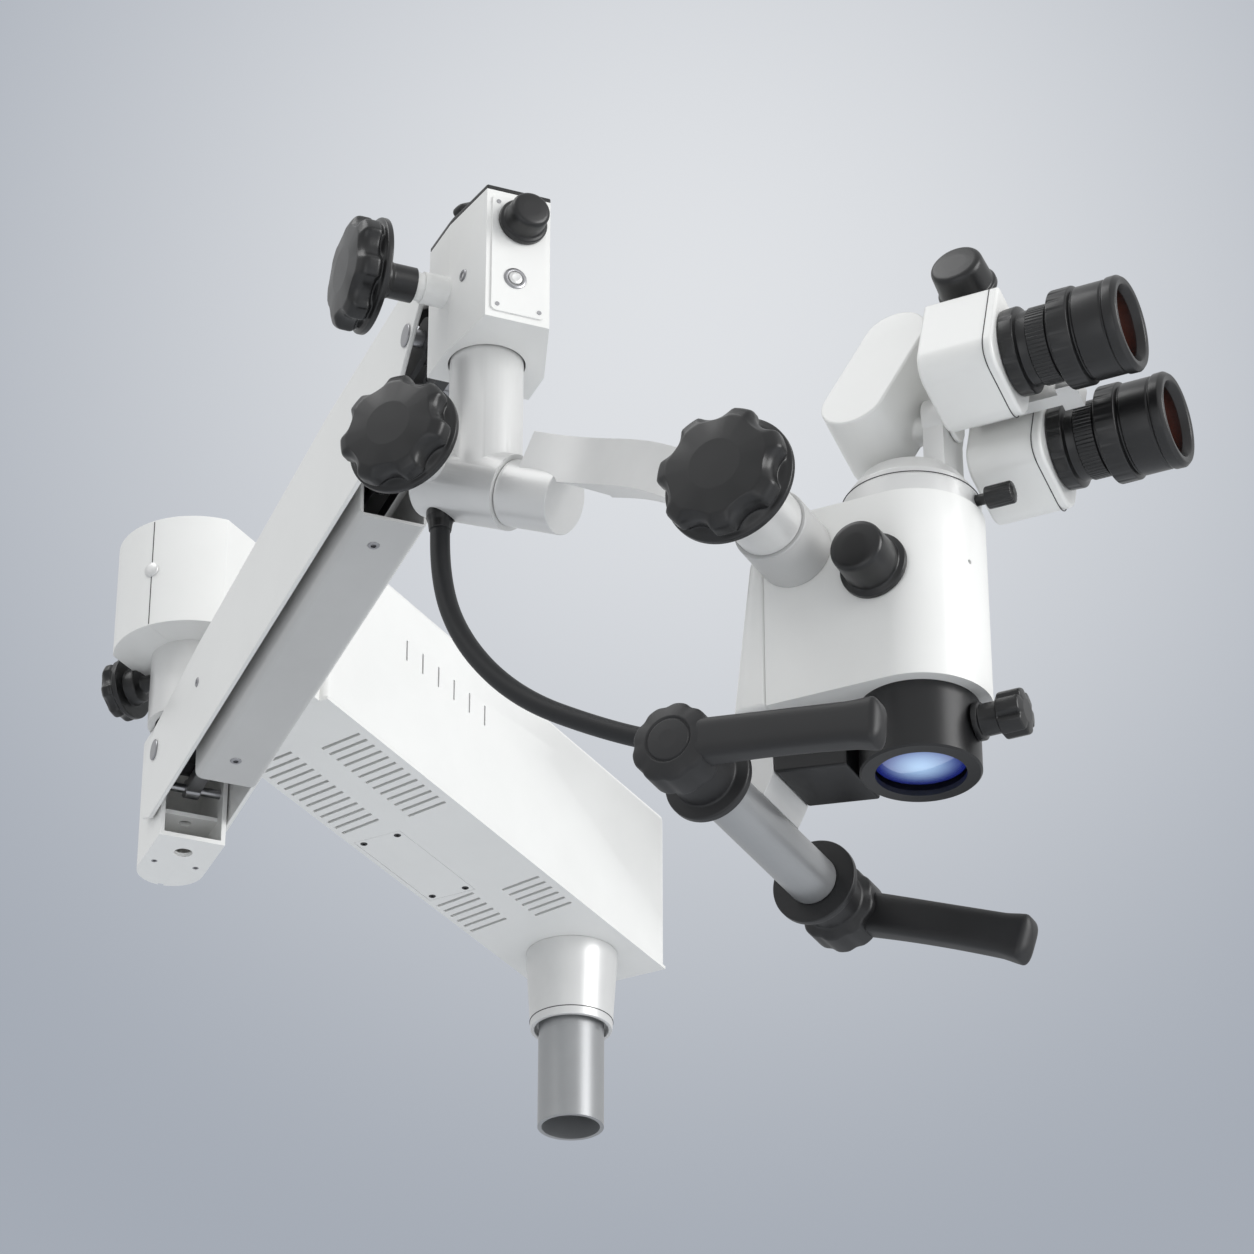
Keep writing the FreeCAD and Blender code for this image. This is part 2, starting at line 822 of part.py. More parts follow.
def knuckle():
    """Make the bracket that carries the arm's lower pivots, with the shaft on its top."""
    shaft = turned(
        "knuckle_shaft",
        [
            ("0", "bracket_top - 1"),
            ("spigot_radius", "bracket_top - 1"),
            ("spigot_radius", "box_bottom + beam_height + 0.3"),
            ("spigot_radius + 7", "box_bottom + beam_height + 0.3"),
            ("spigot_radius + 7", "box_bottom + beam_height + 8"),
            ("0", "box_bottom + beam_height + 8"),
        ],
    )

    def block(name, inset, front, floor, roof):
        """Make a block with a round back, drawn in by an inset."""
        flat = box(
            f"{name}_flat",
            ("-bracket_back", front),
            (f"{inset} - bracket_half", f"bracket_half - {inset}"),
            (floor, roof),
        )
        back = rod(
            f"{name}_back", f"bracket_half - {inset}", "z", (floor, roof), ("-bracket_back", "0")
        )
        return fuse(name, flat, back)

    outer = block("bracket_outer", "0", "bracket_front", "bracket_low", "bracket_top")
    inner = block(
        "bracket_inner",
        "bracket_wall",
        "bracket_front + 1",
        "bracket_low + bracket_wall",
        "bracket_top - bracket_wall",
    )
    shelf = box(
        "bracket_shelf",
        ("-bracket_back", "pivot_forward - 2"),
        ("-bracket_half + 1", "bracket_half - 1"),
        ("bracket_shelf_height", "bracket_shelf_height + bracket_wall"),
    )
    low = ("bracket_low - 1", "bracket_low + bracket_wall + 1")
    holes = [
        rod("bracket_axis_hole", "bracket_hole", "z", low),
        rod("bracket_screw_left", "2", "z", low, ("-18", "14")),
        rod("bracket_screw_right", "2", "z", low, ("-18", "-14")),
        box("bracket_notch", ("-bracket_back - bracket_half - 1", "-bracket_back - bracket_half + 2"),
            ("-2", "2"), low),
        rod("shelf_hole", "4", "z", ("bracket_shelf_height - 1", "bracket_shelf_height + 9")),
        rod(
            "bracket_pin_hole",
            "pin_radius + running_gap",
            "y",
            ("-bracket_half - 1", "bracket_half + 1"),
            ("pivot_forward", "pivot_height"),
        ),
        rod(
            "bracket_link_hole",
            "link_pin_radius + running_gap",
            "y",
            ("-bracket_half - 1", "bracket_half + 1"),
            ("pivot_forward", "pivot_height - link_drop"),
        ),
    ]
    shell = cut("bracket_shell", outer, inner)
    body = fuse("bracket_body", shell, shelf, shaft)
    piece("knuckle_bracket", cut("knuckle_bracket", body, *holes), KNUCKLE)


def spring_arm():
    """Make the arm's beam, side plates, cover, spring cartridge, pins, link and small knob."""
    sides = ("-arm_beam_half", "arm_beam_half")
    heights = ("arm_beam_low", "arm_beam_high")
    block = box("arm_block", ("30", "arm_length - 31"), sides, heights)
    hollow = box(
        "arm_hollow",
        ("spring_start", "arm_length - 43"),
        ("arm_beam_wall - arm_beam_half", "arm_beam_half - arm_beam_wall"),
        ("arm_beam_low + arm_beam_wall", "arm_beam_high - arm_beam_wall"),
    )
    lug = rod("arm_lug", "lug_radius", "y", sides)
    lug_web = box("arm_lug_web", ("0", "30"), sides, ("-10", "8"))
    fork = box("arm_fork", ("arm_length - 31", "arm_length"), sides, heights)
    fork_end = rod("arm_fork_end", "lug_radius", "y", sides, ("arm_length", "0"))
    fork_gap = box(
        "arm_fork_gap",
        ("arm_length - 28", "arm_length + 20"),
        ("-head_frame_half - 0.4", "head_frame_half + 0.4"),
        ("-20", "20"),
    )
    spacers = []
    for number, along in enumerate(("100", "arm_length - 100")):
        for name, span in (
            ("near", ("-plate_inner", "-arm_beam_half + 1")),
            ("far", ("arm_beam_half - 1", "plate_inner")),
        ):
            spacers.append(rod(f"arm_spacer_{number}_{name}", "6", "y", span, (along, "0")))
    pin_holes = [
        rod(f"arm_pin_hole_{number}", "pin_radius", "y", ("-plate_inner", "plate_inner"),
            (along, "0"))
        for number, along in enumerate(("0", "arm_length"))
    ]
    shell = cut("arm_shell", block, hollow)
    frame = fuse("arm_frame", shell, lug, lug_web, fork, fork_end, *spacers)
    piece("arm_beam", cut("arm_beam", frame, fork_gap, *pin_holes), ARM)

    corners = [
        ("-7", "-47"),
        ("arm_length - 38", "-47"),
        ("arm_length - 13", "-23"),
        ("arm_length + 21", "8"),
        ("arm_length + 24", "24"),
        ("arm_length + 12", "35"),
        ("arm_length - 137", "38"),
        ("204", "32"),
        ("91", "28"),
        ("-2", "19"),
        ("-19", "3"),
        ("-27", "-23"),
        ("-22", "-40"),
    ]
    for side, span in (
        ("left", ("-plate_inner - plate_wall", "-plate_inner")),
        ("right", ("plate_inner", "plate_inner + plate_wall")),
    ):
        plate = prism(f"plate_{side}", "xz", corners, span)
        holes = [
            rod(f"plate_{side}_hole_{number}", "pin_radius", "y",
                (f"{span[0]} - 1", f"{span[1]} + 1"), (along, "0"))
            for number, along in enumerate(("0", "arm_length"))
        ]
        piece(f"side_plate_{side}", cut(f"side_plate_{side}", plate, *holes), ARM)

    trough = box("cover_block", ("cover_start", "cover_end"), ("-cover_near", "cover_far"),
                 ("cover_low", "arm_beam_low"))
    trough = soften("cover_rounded", trough, value("cover_corner"), cover_corner)
    inside = box(
        "cover_inside",
        ("cover_start - 1", "cover_end + 1"),
        ("cover_wall - cover_near", "cover_far - cover_wall"),
        ("cover_low + cover_wall", "arm_beam_low + 1"),
    )
    seats = []
    for number, along in enumerate(("cover_start + cover_screw", "cover_end - cover_screw")):
        span = ("cover_low - 1", "cover_low + cover_wall + 1")
        seats.append(rod(f"cover_seat_{number}", "cover_hole", "z", span, (along, "0")))
    piece("arm_cover", cut("arm_cover", trough, inside, *seats), ARM)

    cartridge = turned(
        "spring_cartridge",
        [
            ("0", "spring_start"),
            ("spring_radius", "spring_start"),
            ("spring_radius", "spring_end"),
            ("spring_radius / 2", "spring_end"),
            ("spring_radius / 2", "arm_length - 43"),
            ("0", "arm_length - 43"),
        ],
        "x",
    )
    piece("spring_cartridge", cartridge, ARM)

    pins = []
    for number, along in enumerate(("0", "arm_length")):
        span = ("-plate_inner - plate_wall - 1", "plate_inner + plate_wall + 1")
        pin = rod(f"pin_{number}", "pin_radius", "y", span, (along, "0"))
        heads = [
            rod(f"pin_{number}_near", "pin_head_radius", "y", ("-plate_inner - plate_wall - 1.2",
                "-plate_inner - plate_wall"), (along, "0")),
            rod(f"pin_{number}_far", "pin_head_radius", "y", ("plate_inner + plate_wall",
                "plate_inner + plate_wall + 1.2"), (along, "0")),
        ]
        pins.append(fuse(f"pivot_pin_{number}", pin, *heads))
    piece("pivot_pins", group("pivot_pins", *pins), ARM)

    bar = box("link_bar", ("0", "arm_length"), ("-link_width", "link_width"),
              ("-link_half", "link_half"))
    ends = []
    for number, (along, half) in enumerate((("0", "bracket_half - 0.5"),
                                            ("arm_length", "head_frame_half - 0.5"))):
        ends.append(rod(f"link_eye_{number}", "link_half + 2", "y",
                        ("-link_width", "link_width"), (along, "0")))
        ends.append(rod(f"link_pin_{number}", "link_pin_radius", "y", (f"-({half})", half),
                        (along, "0")))
    lower_link = KNUCKLE * at("pivot_forward", "0", "pivot_height - link_drop")
    piece("parallel_link", fuse("parallel_link", bar, *ends),
          lower_link * turn(Y_AXIS, -value("arm_rise")))

    knob = cap_knob("balance_knob", "11", "8", "arm_beam_high + 26", "12", "3", "-26")
    piece("balance_knob", knob, ARM * at("arm_length - 28", "0", "0"))


def cover_corner(middle, way):
    """Pick the two long lower edges of the arm's cover."""
    return abs(way.x) > 0.9 and middle.z < value("cover_low") + 0.1


def head():
    """Make the head's shell, front panel, top plate, inner frame, button and knobs."""

    def plan(inset):
        """Return the head's plan outline, drawn in by an inset."""
        return [
            (f"head_front - {inset}", f"{inset} - head_front_half"),
            (f"head_front - {inset}", f"head_front_half - {inset}"),
            ("0", f"head_right_half - {inset}"),
            (f"{inset} - head_back", f"head_right_half - {inset}"),
            (f"{inset} - head_back", f"{inset} - head_left_half"),
            ("6", f"{inset} - head_left_half + 1"),
        ]

    top = "head_high - cap_plate"
    outer = prism("head_outer", "xy", plan("0"), ("head_low", top))
    inner = prism("head_inner", "xy", plan("head_wall"), ("head_low + head_wall", f"{top} + 1"))
    sleeve = rod("sleeve_outer", "sleeve_radius", "y",
                 ("-head_left_half - sleeve_length", "head_wall - head_left_half"),
                 ("sleeve_x", "sleeve_z"))
    nut = rod("sleeve_nut", "sleeve_radius - 1", "y",
              ("-head_left_half - sleeve_length - sleeve_nut", "-head_left_half - sleeve_length"),
              ("sleeve_x", "sleeve_z"))
    outer = fuse("head_body", outer, sleeve, nut)
    openings = [
        rod("head_tube_hole", "tube_radius + 0.5", "z", ("head_low - 1", "head_low + 4")),
        box(
            "head_back_opening",
            ("-head_back - 1", "-head_back + head_wall + 1"),
            ("-head_frame_half - 1", "head_frame_half + 1"),
            ("-head_low_tongue - 1", "tongue_radius + 1"),
        ),
        rod("head_sleeve_hole", "stem_radius + running_gap", "y",
            ("-head_left_half - sleeve_length - 6", "-head_frame_half"),
            ("sleeve_x", "sleeve_z")),
        rod("head_button_hole", "button_radius + 0.15", "x", ("head_front - 5", "head_front + 1"),
            ("button_y", "button_z")),
        rod("head_knob_hole", "3 + running_gap", "x", ("head_front - 5", "head_front + 1"),
            ("front_knob_y", "front_knob_z")),
    ]
    piece("head_shell", cut("head_shell", outer, inner, *openings), HEAD)

    panel = box(
        "panel_sheet",
        ("head_front", "head_front + panel_depth"),
        ("3 - head_front_half", "head_front_half - 3"),
        ("head_low + 4", f"{top} - 4"),
    )
    panel = soften("panel_rounded", panel, 3, panel_corner)
    panel_holes = [
        rod("panel_button_hole", "button_radius + 0.15", "x",
            ("head_front - 1", "head_front + 3"), ("button_y", "button_z")),
        rod("panel_knob_hole", "3 + running_gap", "x", ("head_front - 1", "head_front + 3"),
            ("front_knob_y", "front_knob_z")),
    ]
    screws = []
    seats = []
    for number, (side, height) in enumerate(
        (
            ("6.5 - head_front_half", "head_low + 8"),
            ("head_front_half - 6.5", "head_low + 8"),
            ("6.5 - head_front_half", f"{top} - 8"),
            ("head_front_half - 6.5", f"{top} - 8"),
        )
    ):
        outer_face = "head_front + panel_depth"
        screws.append(rod(f"panel_screw_{number}", "1.3", "x",
                          ("head_front", f"{outer_face} + 0.3"), (side, height)))
        seats.append(rod(f"panel_seat_{number}", "1.3", "x",
                         ("head_front - 1", f"{outer_face} + 1"), (side, height)))
    piece("head_panel", cut("head_panel", panel, *panel_holes, *seats), HEAD)
    piece("panel_screws", group("panel_screws", *screws), HEAD)

    cap = prism("cap_sheet", "xy", plan("0"), (top, "head_high"))
    cap_hole = rod("cap_hole", "yoke_spigot_radius + 1", "z", (f"{top} - 1", "head_high + 1"))
    piece("head_top_cap", cut("head_top_cap", cap, cap_hole), HEAD)

    block = box("frame_block", ("-head_forward", "20"), ("-head_frame_half", "head_frame_half"),
                ("-head_low_tongue", "tongue_radius"))
    tongue = rod("frame_tongue", "tongue_radius", "y", ("-head_frame_half", "head_frame_half"),
                 ("-head_forward", "0"))
    tongue_low = rod("frame_tongue_low", "8", "y", ("-head_frame_half", "head_frame_half"),
                     ("-head_forward", "-link_drop"))
    boss = rod("frame_boss", "yoke_spigot_radius + 7", "z", ("-head_low_tongue", top))
    roof = box("frame_roof", ("-10", "36"), ("-12", "12"), (f"{top} - 4", top))
    side_block = box("frame_side_block", ("sleeve_x - 9", "sleeve_x + 9"),
                     ("-head_left_half + 7", "0"), ("sleeve_z - 9", "sleeve_z + 9"))
    slot = box("frame_link_slot", ("-head_forward - 20", "-head_forward + 36"),
               ("-link_width - 0.5", "link_width + 0.5"), ("-head_low_tongue - 1", "-13.5"))
    frame_holes = [
        rod("frame_bore", "yoke_spigot_radius + running_gap", "z",
            ("-head_low_tongue - 1", f"{top} + 1")),
        rod("frame_pin_hole", "pin_radius + running_gap", "y",
            ("-head_frame_half - 1", "head_frame_half + 1"), ("-head_forward", "0")),
        rod("frame_link_hole", "link_pin_radius + link_gap", "y",
            ("-head_frame_half - 1", "head_frame_half + 1"), ("-head_forward", "-link_drop")),
        rod("frame_stem_hole", "stem_radius + running_gap", "y",
            ("-head_left_half", "-yoke_spigot_radius - 1"), ("sleeve_x", "sleeve_z")),
    ]
    body = fuse("frame_body", block, tongue, tongue_low, boss, roof, side_block)
    piece("head_frame", cut("head_frame", body, slot, *frame_holes), HEAD)

    star_side = star("side_star", "star_radius", "side_knob_reach",
                     stem_start="yoke_spigot_radius + 3")
    hub = rod("side_hub", "side_hub_radius", "z",
              ("head_left_half + sleeve_length + sleeve_nut + 0.5", "side_knob_reach + 1"))
    piece("head_side_knob", fuse("head_side_knob", star_side, hub),
          HEAD * at("sleeve_x", "0", "sleeve_z") * TO_NEAR)
    top_knob = star("head_top_knob", "top_knob_radius", "head_high + 1.5",
                    depth="top_knob_depth", stem_start="head_high - 8")
    piece("head_top_knob", top_knob, HEAD)
    front = cap_knob("head_front_knob", "small_knob_flange", "small_knob_radius",
                     "head_front + panel_depth + 0.3", "small_knob_depth")
    piece("head_front_knob", front, HEAD * at("0", "front_knob_y", "front_knob_z") * TO_FRONT)
    button = rod("head_button_stem", "button_radius", "x",
                 ("head_front - 8", "head_front + panel_depth + 2"), ("button_y", "button_z"))
    piece("head_button", button, HEAD)


def panel_corner(middle, way):
    """Pick the four short edges through the front panel's sheet."""
    return abs(way.x) > 0.9


def yoke():
    """Make the elbow tube that turns in the head, its knob and the cable's gland."""
    riser = rod("yoke_riser", "tube_radius - 0.5", "z", ("0", "elbow_drop + head_low + 13"))
    spigot = rod("yoke_spigot", "yoke_spigot_radius", "z",
                 ("elbow_drop + head_low + 10", "elbow_drop + head_high - cap_plate - 10"))
    roll_tube = rod("yoke_roll_tube", "tube_radius", "x", ("-roll_stub", "roll_seam"))
    bore = rod("yoke_bore", "roll_journal + running_gap", "x", ("-16", "roll_seam + 1"))
    knob_boss = rod("yoke_knob_boss", "knob_boss_radius", "y", ("8 - yoke_knob_reach", "6 - tube_radius"),
                    ("-yoke_knob_back", "0"))
    thread = rod("yoke_thread", "stem_radius + running_gap", "y",
                 ("-yoke_knob_reach", "-10"), ("-yoke_knob_back", "0"))
    level = turn(Y_AXIS, value("roll_decline"))
    tube = fuse("yoke_tube", roll_tube, knob_boss)
    hollow = fuse("yoke_hollow", bore, thread)
    for item in (tube, hollow):
        item.Placement = level
    body = fuse("yoke_body", riser, spigot, tube)
    gland_seat = rod("gland_seat", "gland_radius", "z", ("-30", "gland_top"),
                     ("gland_back", "0"))
    piece("yoke_elbow", cut("yoke_elbow", body, hollow, gland_seat), YOKE)
    gland = rod("gland_body", "gland_radius", "z", ("gland_top - gland_length", "gland_top"),
                ("gland_back", "0"))
    piece("cable_gland", gland, YOKE)
    knob = star("yoke_knob", "star_radius", "yoke_knob_reach", stem_start="12")
    piece("yoke_knob", knob, ROLL * at("-yoke_knob_back", "0", "0") * TO_NEAR)


def cross_arm():
    """Make the roll shaft, the curved cross arm and the stem that carries the microscope.

    The arm is a loft through upright rectangles whose centres run from over the shaft's
    end, forward and out to the near side, to the stem.
    """
    journal = rod("roll_journal_rod", "roll_journal", "x", ("-15.5", "roll_seam + 1"))
    shaft = rod("roll_shaft_rod", "roll_shaft_radius", "x",
                ("roll_seam + roll_gap", "roll_shaft_end"))
    piece("roll_shaft", fuse("roll_shaft", journal, shaft), ROLL)

    stem = PITCH.Base - ROLL.Base
    goal = ROLL.Rotation.inverted().multVec(stem)
    near = -value("(pitch_collar_end + pitch_stem_end) / 2")
    rise = value("roll_shaft_radius - 1.5")
    start = value("roll_seam + roll_gap + 9")
    low = goal.z
    shares = ((0, 0.1, 0), (0.24, 0.18, 0.04), (0.5, 0.5, 0.28), (0.74, 0.82, 0.66), (1, 1, 1))
    headings = (4, -22, -38, -26, -8)
    wires = []
    tall = value("cross_height")
    thick = value("cross_wall")
    for (along, across, fall), heading in zip(shares, headings):
        centre = Vector(
            start + (goal.x - start) * along, near * across, rise + (low - rise) * fall
        )
        swing = math.radians(heading)
        side = Vector(-math.sin(swing), math.cos(swing), 0) * (thick / 2)
        up = Vector(0, 0, tall / 2)
        corners = [centre + side + up, centre - side + up, centre - side - up, centre + side - up]
        wires.append(Part.makePolygon(corners + corners[:1]))
    band = doc.addObject("Part::Feature", "cross_band")
    band.Shape = Part.makeLoft(wires, True, False)
    shaft_seat = rod("cross_shaft_seat", "roll_shaft_radius", "x", ("0", "roll_shaft_end + 40"))

    stem = turned(
        "pitch_stem",
        [
            ("stem_radius + running_gap", "pitch_stem_end - 22"),
            ("0", "pitch_stem_end - 22"),
            ("0", "pitch_journal_start"),
            ("pitch_journal", "pitch_journal_start"),
            ("pitch_journal", "pitch_collar_end + roll_gap"),
            ("pitch_stem_radius", "pitch_collar_end + roll_gap"),
            ("pitch_stem_radius", "pitch_stem_end"),
            ("stem_radius + running_gap", "pitch_stem_end"),
        ],
    )
    thread = rod("pitch_thread", "stem_radius + running_gap", "z",
                 ("pitch_stem_end - 22", "pitch_stem_end + 20"))
    doc.recompute()
    for item in (stem, thread):
        moved(item, ROLL.inverse() * PITCH * TO_NEAR)
    piece("cross_arm", cut("cross_arm", fuse("cross_body", band, stem), shaft_seat, thread), ROLL)
    knob = star("tilt_knob", "tilt_knob_radius", "pitch_stem_end + 0.3",
                stem_start="pitch_stem_end - 20")
    piece("tilt_knob", knob, PITCH * TO_NEAR)


def microscope_body():
    """Make the microscope's shell, rear cover, lamp housing, pitch collar and drum."""

    def hull(name, inset, floor, roof):
        """Make the body's outline, drawn in by an inset and sloped at its top rear."""
        front = rod(f"{name}_front", f"body_radius - {inset}", "z", (floor, roof))
        back = box(f"{name}_back", ("-cover_seam", "0"),
                   (f"{inset} - body_radius", f"body_radius - {inset}"), (floor, roof))
        slope = prism(
            f"{name}_slope",
            "xz",
            [
                ("-slope_start", roof),
                ("-cover_seam - 1", f"{roof} - (cover_seam + 1 - slope_start) * top_fall"),
                ("-cover_seam - 1", "body_top + 20"),
                ("-slope_start", "body_top + 20"),
            ],
            ("-body_radius - 1", "body_radius + 1"),
        )
        return cut(f"{name}_hull", fuse(f"{name}_bulk", front, back), slope)

    outer = hull("body_outer", "0", "0", "body_top")
    inner = hull("body_inner", "body_wall", "body_wall", "body_top - body_wall")
    openings = [
        rod("body_pitch_hole", "pitch_spigot", "y", ("-body_radius - 1", "-body_radius + 4"),
            ("-pitch_back", "pitch_height")),
        rod("body_zoom_hole", "4 + running_gap", "y", ("-body_radius - 1", "-body_radius + 4"),
            ("zoom_x", "zoom_z")),
        rod("body_light_hole", "lens_radius", "z", ("-1", "body_top + 1")),
        rod("body_spy_hole", "1.2", "x", ("body_radius - 6", "body_radius + 1"),
            ("-12", "70")),
    ]
    piece("body_shell", cut("body_shell", outer, inner, *openings), SCOPE)

    corners = [
        ("-cover_seam", "0"),
        ("-body_back", "0"),
        ("-body_back + 10", "back_top"),
        ("-cover_seam", "body_top - (cover_seam - slope_start) * top_fall"),
    ]
    hollow = [
        ("-cover_seam + 1", "body_wall"),
        ("-body_back + body_wall", "body_wall"),
        ("-body_back + 10 + body_wall", "back_top - body_wall"),
        ("-cover_seam + 1", "body_top - (cover_seam - slope_start) * top_fall - body_wall - 1"),
    ]
    shell = prism("rear_outer", "xz", corners, ("-body_radius", "body_radius"))
    shell = soften("rear_rounded", shell, value("rear_corner"), rear_edge)
    inside = prism("rear_inner", "xz", hollow,
                   ("body_wall - body_radius", "body_radius - body_wall"))
    piece("rear_cover", cut("rear_cover", shell, inside), SCOPE)

    collar = turned(
        "pitch_collar",
        [
            ("pitch_journal + running_gap", "body_radius - body_wall"),
            ("pitch_spigot", "body_radius - body_wall"),
            ("pitch_spigot", "body_radius"),
            ("pitch_collar_radius", "body_radius"),
            ("pitch_collar_radius", "pitch_collar_end"),
            ("pitch_journal + running_gap", "pitch_collar_end"),
        ],
    )
    piece("pitch_collar", collar, PITCH * TO_NEAR)

    lamp = prism(
        "lamp_block",
        "xz",
        [
            ("-lamp_back", "0"),
            ("-barrel_radius - 0.3", "0"),
            ("-barrel_radius - 0.3", "-lamp_low"),
            ("-lamp_back + 1", "-bracket_bend"),
        ],
        ("-bracket_side", "bracket_side"),
    )
    piece("lamp_housing", lamp, SCOPE)
    bracket = prism(
        "rear_bracket_plate",
        "xz",
        [
            ("-body_back", "0"),
            ("-lamp_back", "0"),
            ("-lamp_back + 1", "-bracket_bend"),
            ("-bar_back + 6", "-bar_drop"),
            ("-bar_back - 6", "-bar_drop"),
            ("-bar_back - 16.9", "-13.8"),
            ("-bar_back - 10.5", "-2.5"),
        ],
        ("-bracket_side", "bracket_side"),
    )
    bar_seat = rod("rear_bracket_seat", "bar_radius", "y", ("-bracket_side - 2", "bracket_side + 2"),
                   ("-bar_back", "-bar_drop"))
    piece("rear_bracket", cut("rear_bracket", bracket, bar_seat), SCOPE)


def rear_edge(middle, way):
    """Pick the two upright edges at the back of the microscope."""
    return middle.x < -value("body_back") + 10 and abs(way.z) > 0.8


def microscope_optics():
    """Make the objective barrel, its lens and focus knob, the zoom knob and the top ring."""
    low = "-barrel_low"
    barrel = turned(
        "objective_barrel_turned",
        [
            ("barrel_radius - barrel_wall", "0"),
            ("barrel_radius", "0"),
            ("barrel_radius", f"{low} + 1"),
            ("barrel_radius - 1", low),
            ("lens_radius", low),
            ("lens_radius", f"{low} + 3"),
            ("barrel_radius - barrel_wall", f"{low} + 3"),
        ],
    )
    hole = rod("barrel_focus_hole", "4 + running_gap", "x", ("20", "barrel_radius + 1"),
               ("0", "-focus_drop"))
    piece("objective_barrel", cut("objective_barrel", barrel, hole), SCOPE)

    seat = "barrel_radius - barrel_wall - running_gap"
    lens = turned(
        "objective_lens",
        [
            ("0", f"{low} + 7 - lens_bulge / 2"),
            ("lens_radius - 6", f"{low} + 7 - lens_bulge / 4"),
            ("lens_radius + 1", f"{low} + 7"),
            (seat, f"{low} + 7"),
            (seat, f"{low} + 7 + cell_length"),
            ("lens_radius", f"{low} + 7 + cell_length"),
            ("lens_radius", f"{low} + 13"),
            ("0", f"{low} + 13 + lens_bulge"),
        ],
    )
    piece("objective_lens", lens, SCOPE)

    knob = turned(
        "focus_knob",
        [
            ("0", "lens_radius + 5"),
            ("4", "lens_radius + 5"),
            ("4", "barrel_radius + 0.3"),
            ("10", "barrel_radius + 0.3"),
            ("10", "barrel_radius + 3"),
            ("8.5", "barrel_radius + 3"),
            ("8.5", "barrel_radius + 14"),
            ("12", "barrel_radius + 14"),
            ("12", "barrel_radius + 26"),
            ("11", "barrel_radius + 27"),
            ("0", "barrel_radius + 27"),
        ],
    )
    piece("focus_knob", knob, SCOPE * at("0", "0", "-focus_drop") * TO_FRONT)

    zoom = cap_knob("zoom_knob", "18", "14", "body_radius + 0.3", "25", "4", "-body_radius + 12")
    piece("zoom_knob", zoom, SCOPE * at("zoom_x", "0", "zoom_z") * TO_NEAR)

    ring = turned(
        "top_ring",
        [
            ("ring_bore", "body_top"),
            ("ring_radius", "body_top"),
            ("ring_radius", "body_top + ring_height - 1"),
            ("ring_radius - 1", "body_top + ring_height"),
            ("ring_bore", "body_top + ring_height"),
        ],
    )
    screw_hole = rod("ring_screw_hole", "3 + running_gap", "x", ("0", "ring_radius + 1"),
                     ("0", "body_top + ring_height / 2"))
    piece("dovetail_ring", cut("dovetail_ring", ring, screw_hole), SCOPE)
    screw = turned(
        "clamp_screw",
        [
            ("0", "ring_bore + 0.3"),
            ("3", "ring_bore + 0.3"),
            ("3", "ring_radius + 6"),
            ("6", "ring_radius + 6"),
            ("6", "ring_radius + 20"),
            ("5", "ring_radius + 21"),
            ("0", "ring_radius + 21"),
        ],
    )
    piece("clamp_screw", screw, SCOPE * at("0", "0", "body_top + ring_height / 2") * TO_FRONT)


def handles():
    """Make the handle bar and the two handles that turn on its ends."""
    bar = rod("bar_tube", "bar_radius", "y", ("-bar_half", "bar_half"))
    axles = rod("bar_axle", "axle_radius", "y", ("4 - hub_end", "hub_end - 4"))
    frame = SCOPE * at("-bar_back", "0", "-bar_drop")
    piece("handle_bar", fuse("handle_bar", bar, axles), frame)
    for name, way, dip, up in (
        ("handle_near", TO_NEAR, value("near_grip_dip"), 1),
        ("handle_far", TO_FAR, value("far_grip_dip"), -1),
    ):
        hub = turned(
            f"{name}_hub",
            [
                ("0", "bar_half + 0.3"),
                ("handle_flange", "bar_half + 0.3"),
                ("handle_flange", "bar_half + 5"),
                ("hub_radius", "bar_half + 5"),
                ("hub_radius", "hub_head_start"),
                ("hub_head_radius", "hub_head_start"),
                ("hub_head_radius", "hub_end"),
                ("0", "hub_end"),
            ],
        )
        tall = "grip_height / 2"
        grip = prism(
            f"{name}_grip",
            "xy",
            [
                ("0", f"-{tall}"),
                ("grip_length - 12", f"-{tall} - grip_curve"),
                ("grip_length - 12", f"-{tall} - grip_curve - 2"),
                ("grip_length", f"-{tall} - grip_curve - 2"),
                ("grip_length", f"{tall} - grip_curve"),
                ("0", tall),
            ],
            ("hub_end - grip_width", "hub_end"),
        )
        if up < 0:
            grip.Placement = turn(X_AXIS, 180) * at("0", "0", "-2 * hub_end + grip_width")
        bore = rod(f"{name}_bore", "axle_radius + running_gap", "z", ("0", "hub_end - 3.5"))
        body = cut(name, fuse(f"{name}_body", hub, grip), bore)
        piece(name, body, frame * turn(Y_AXIS, dip) * way)


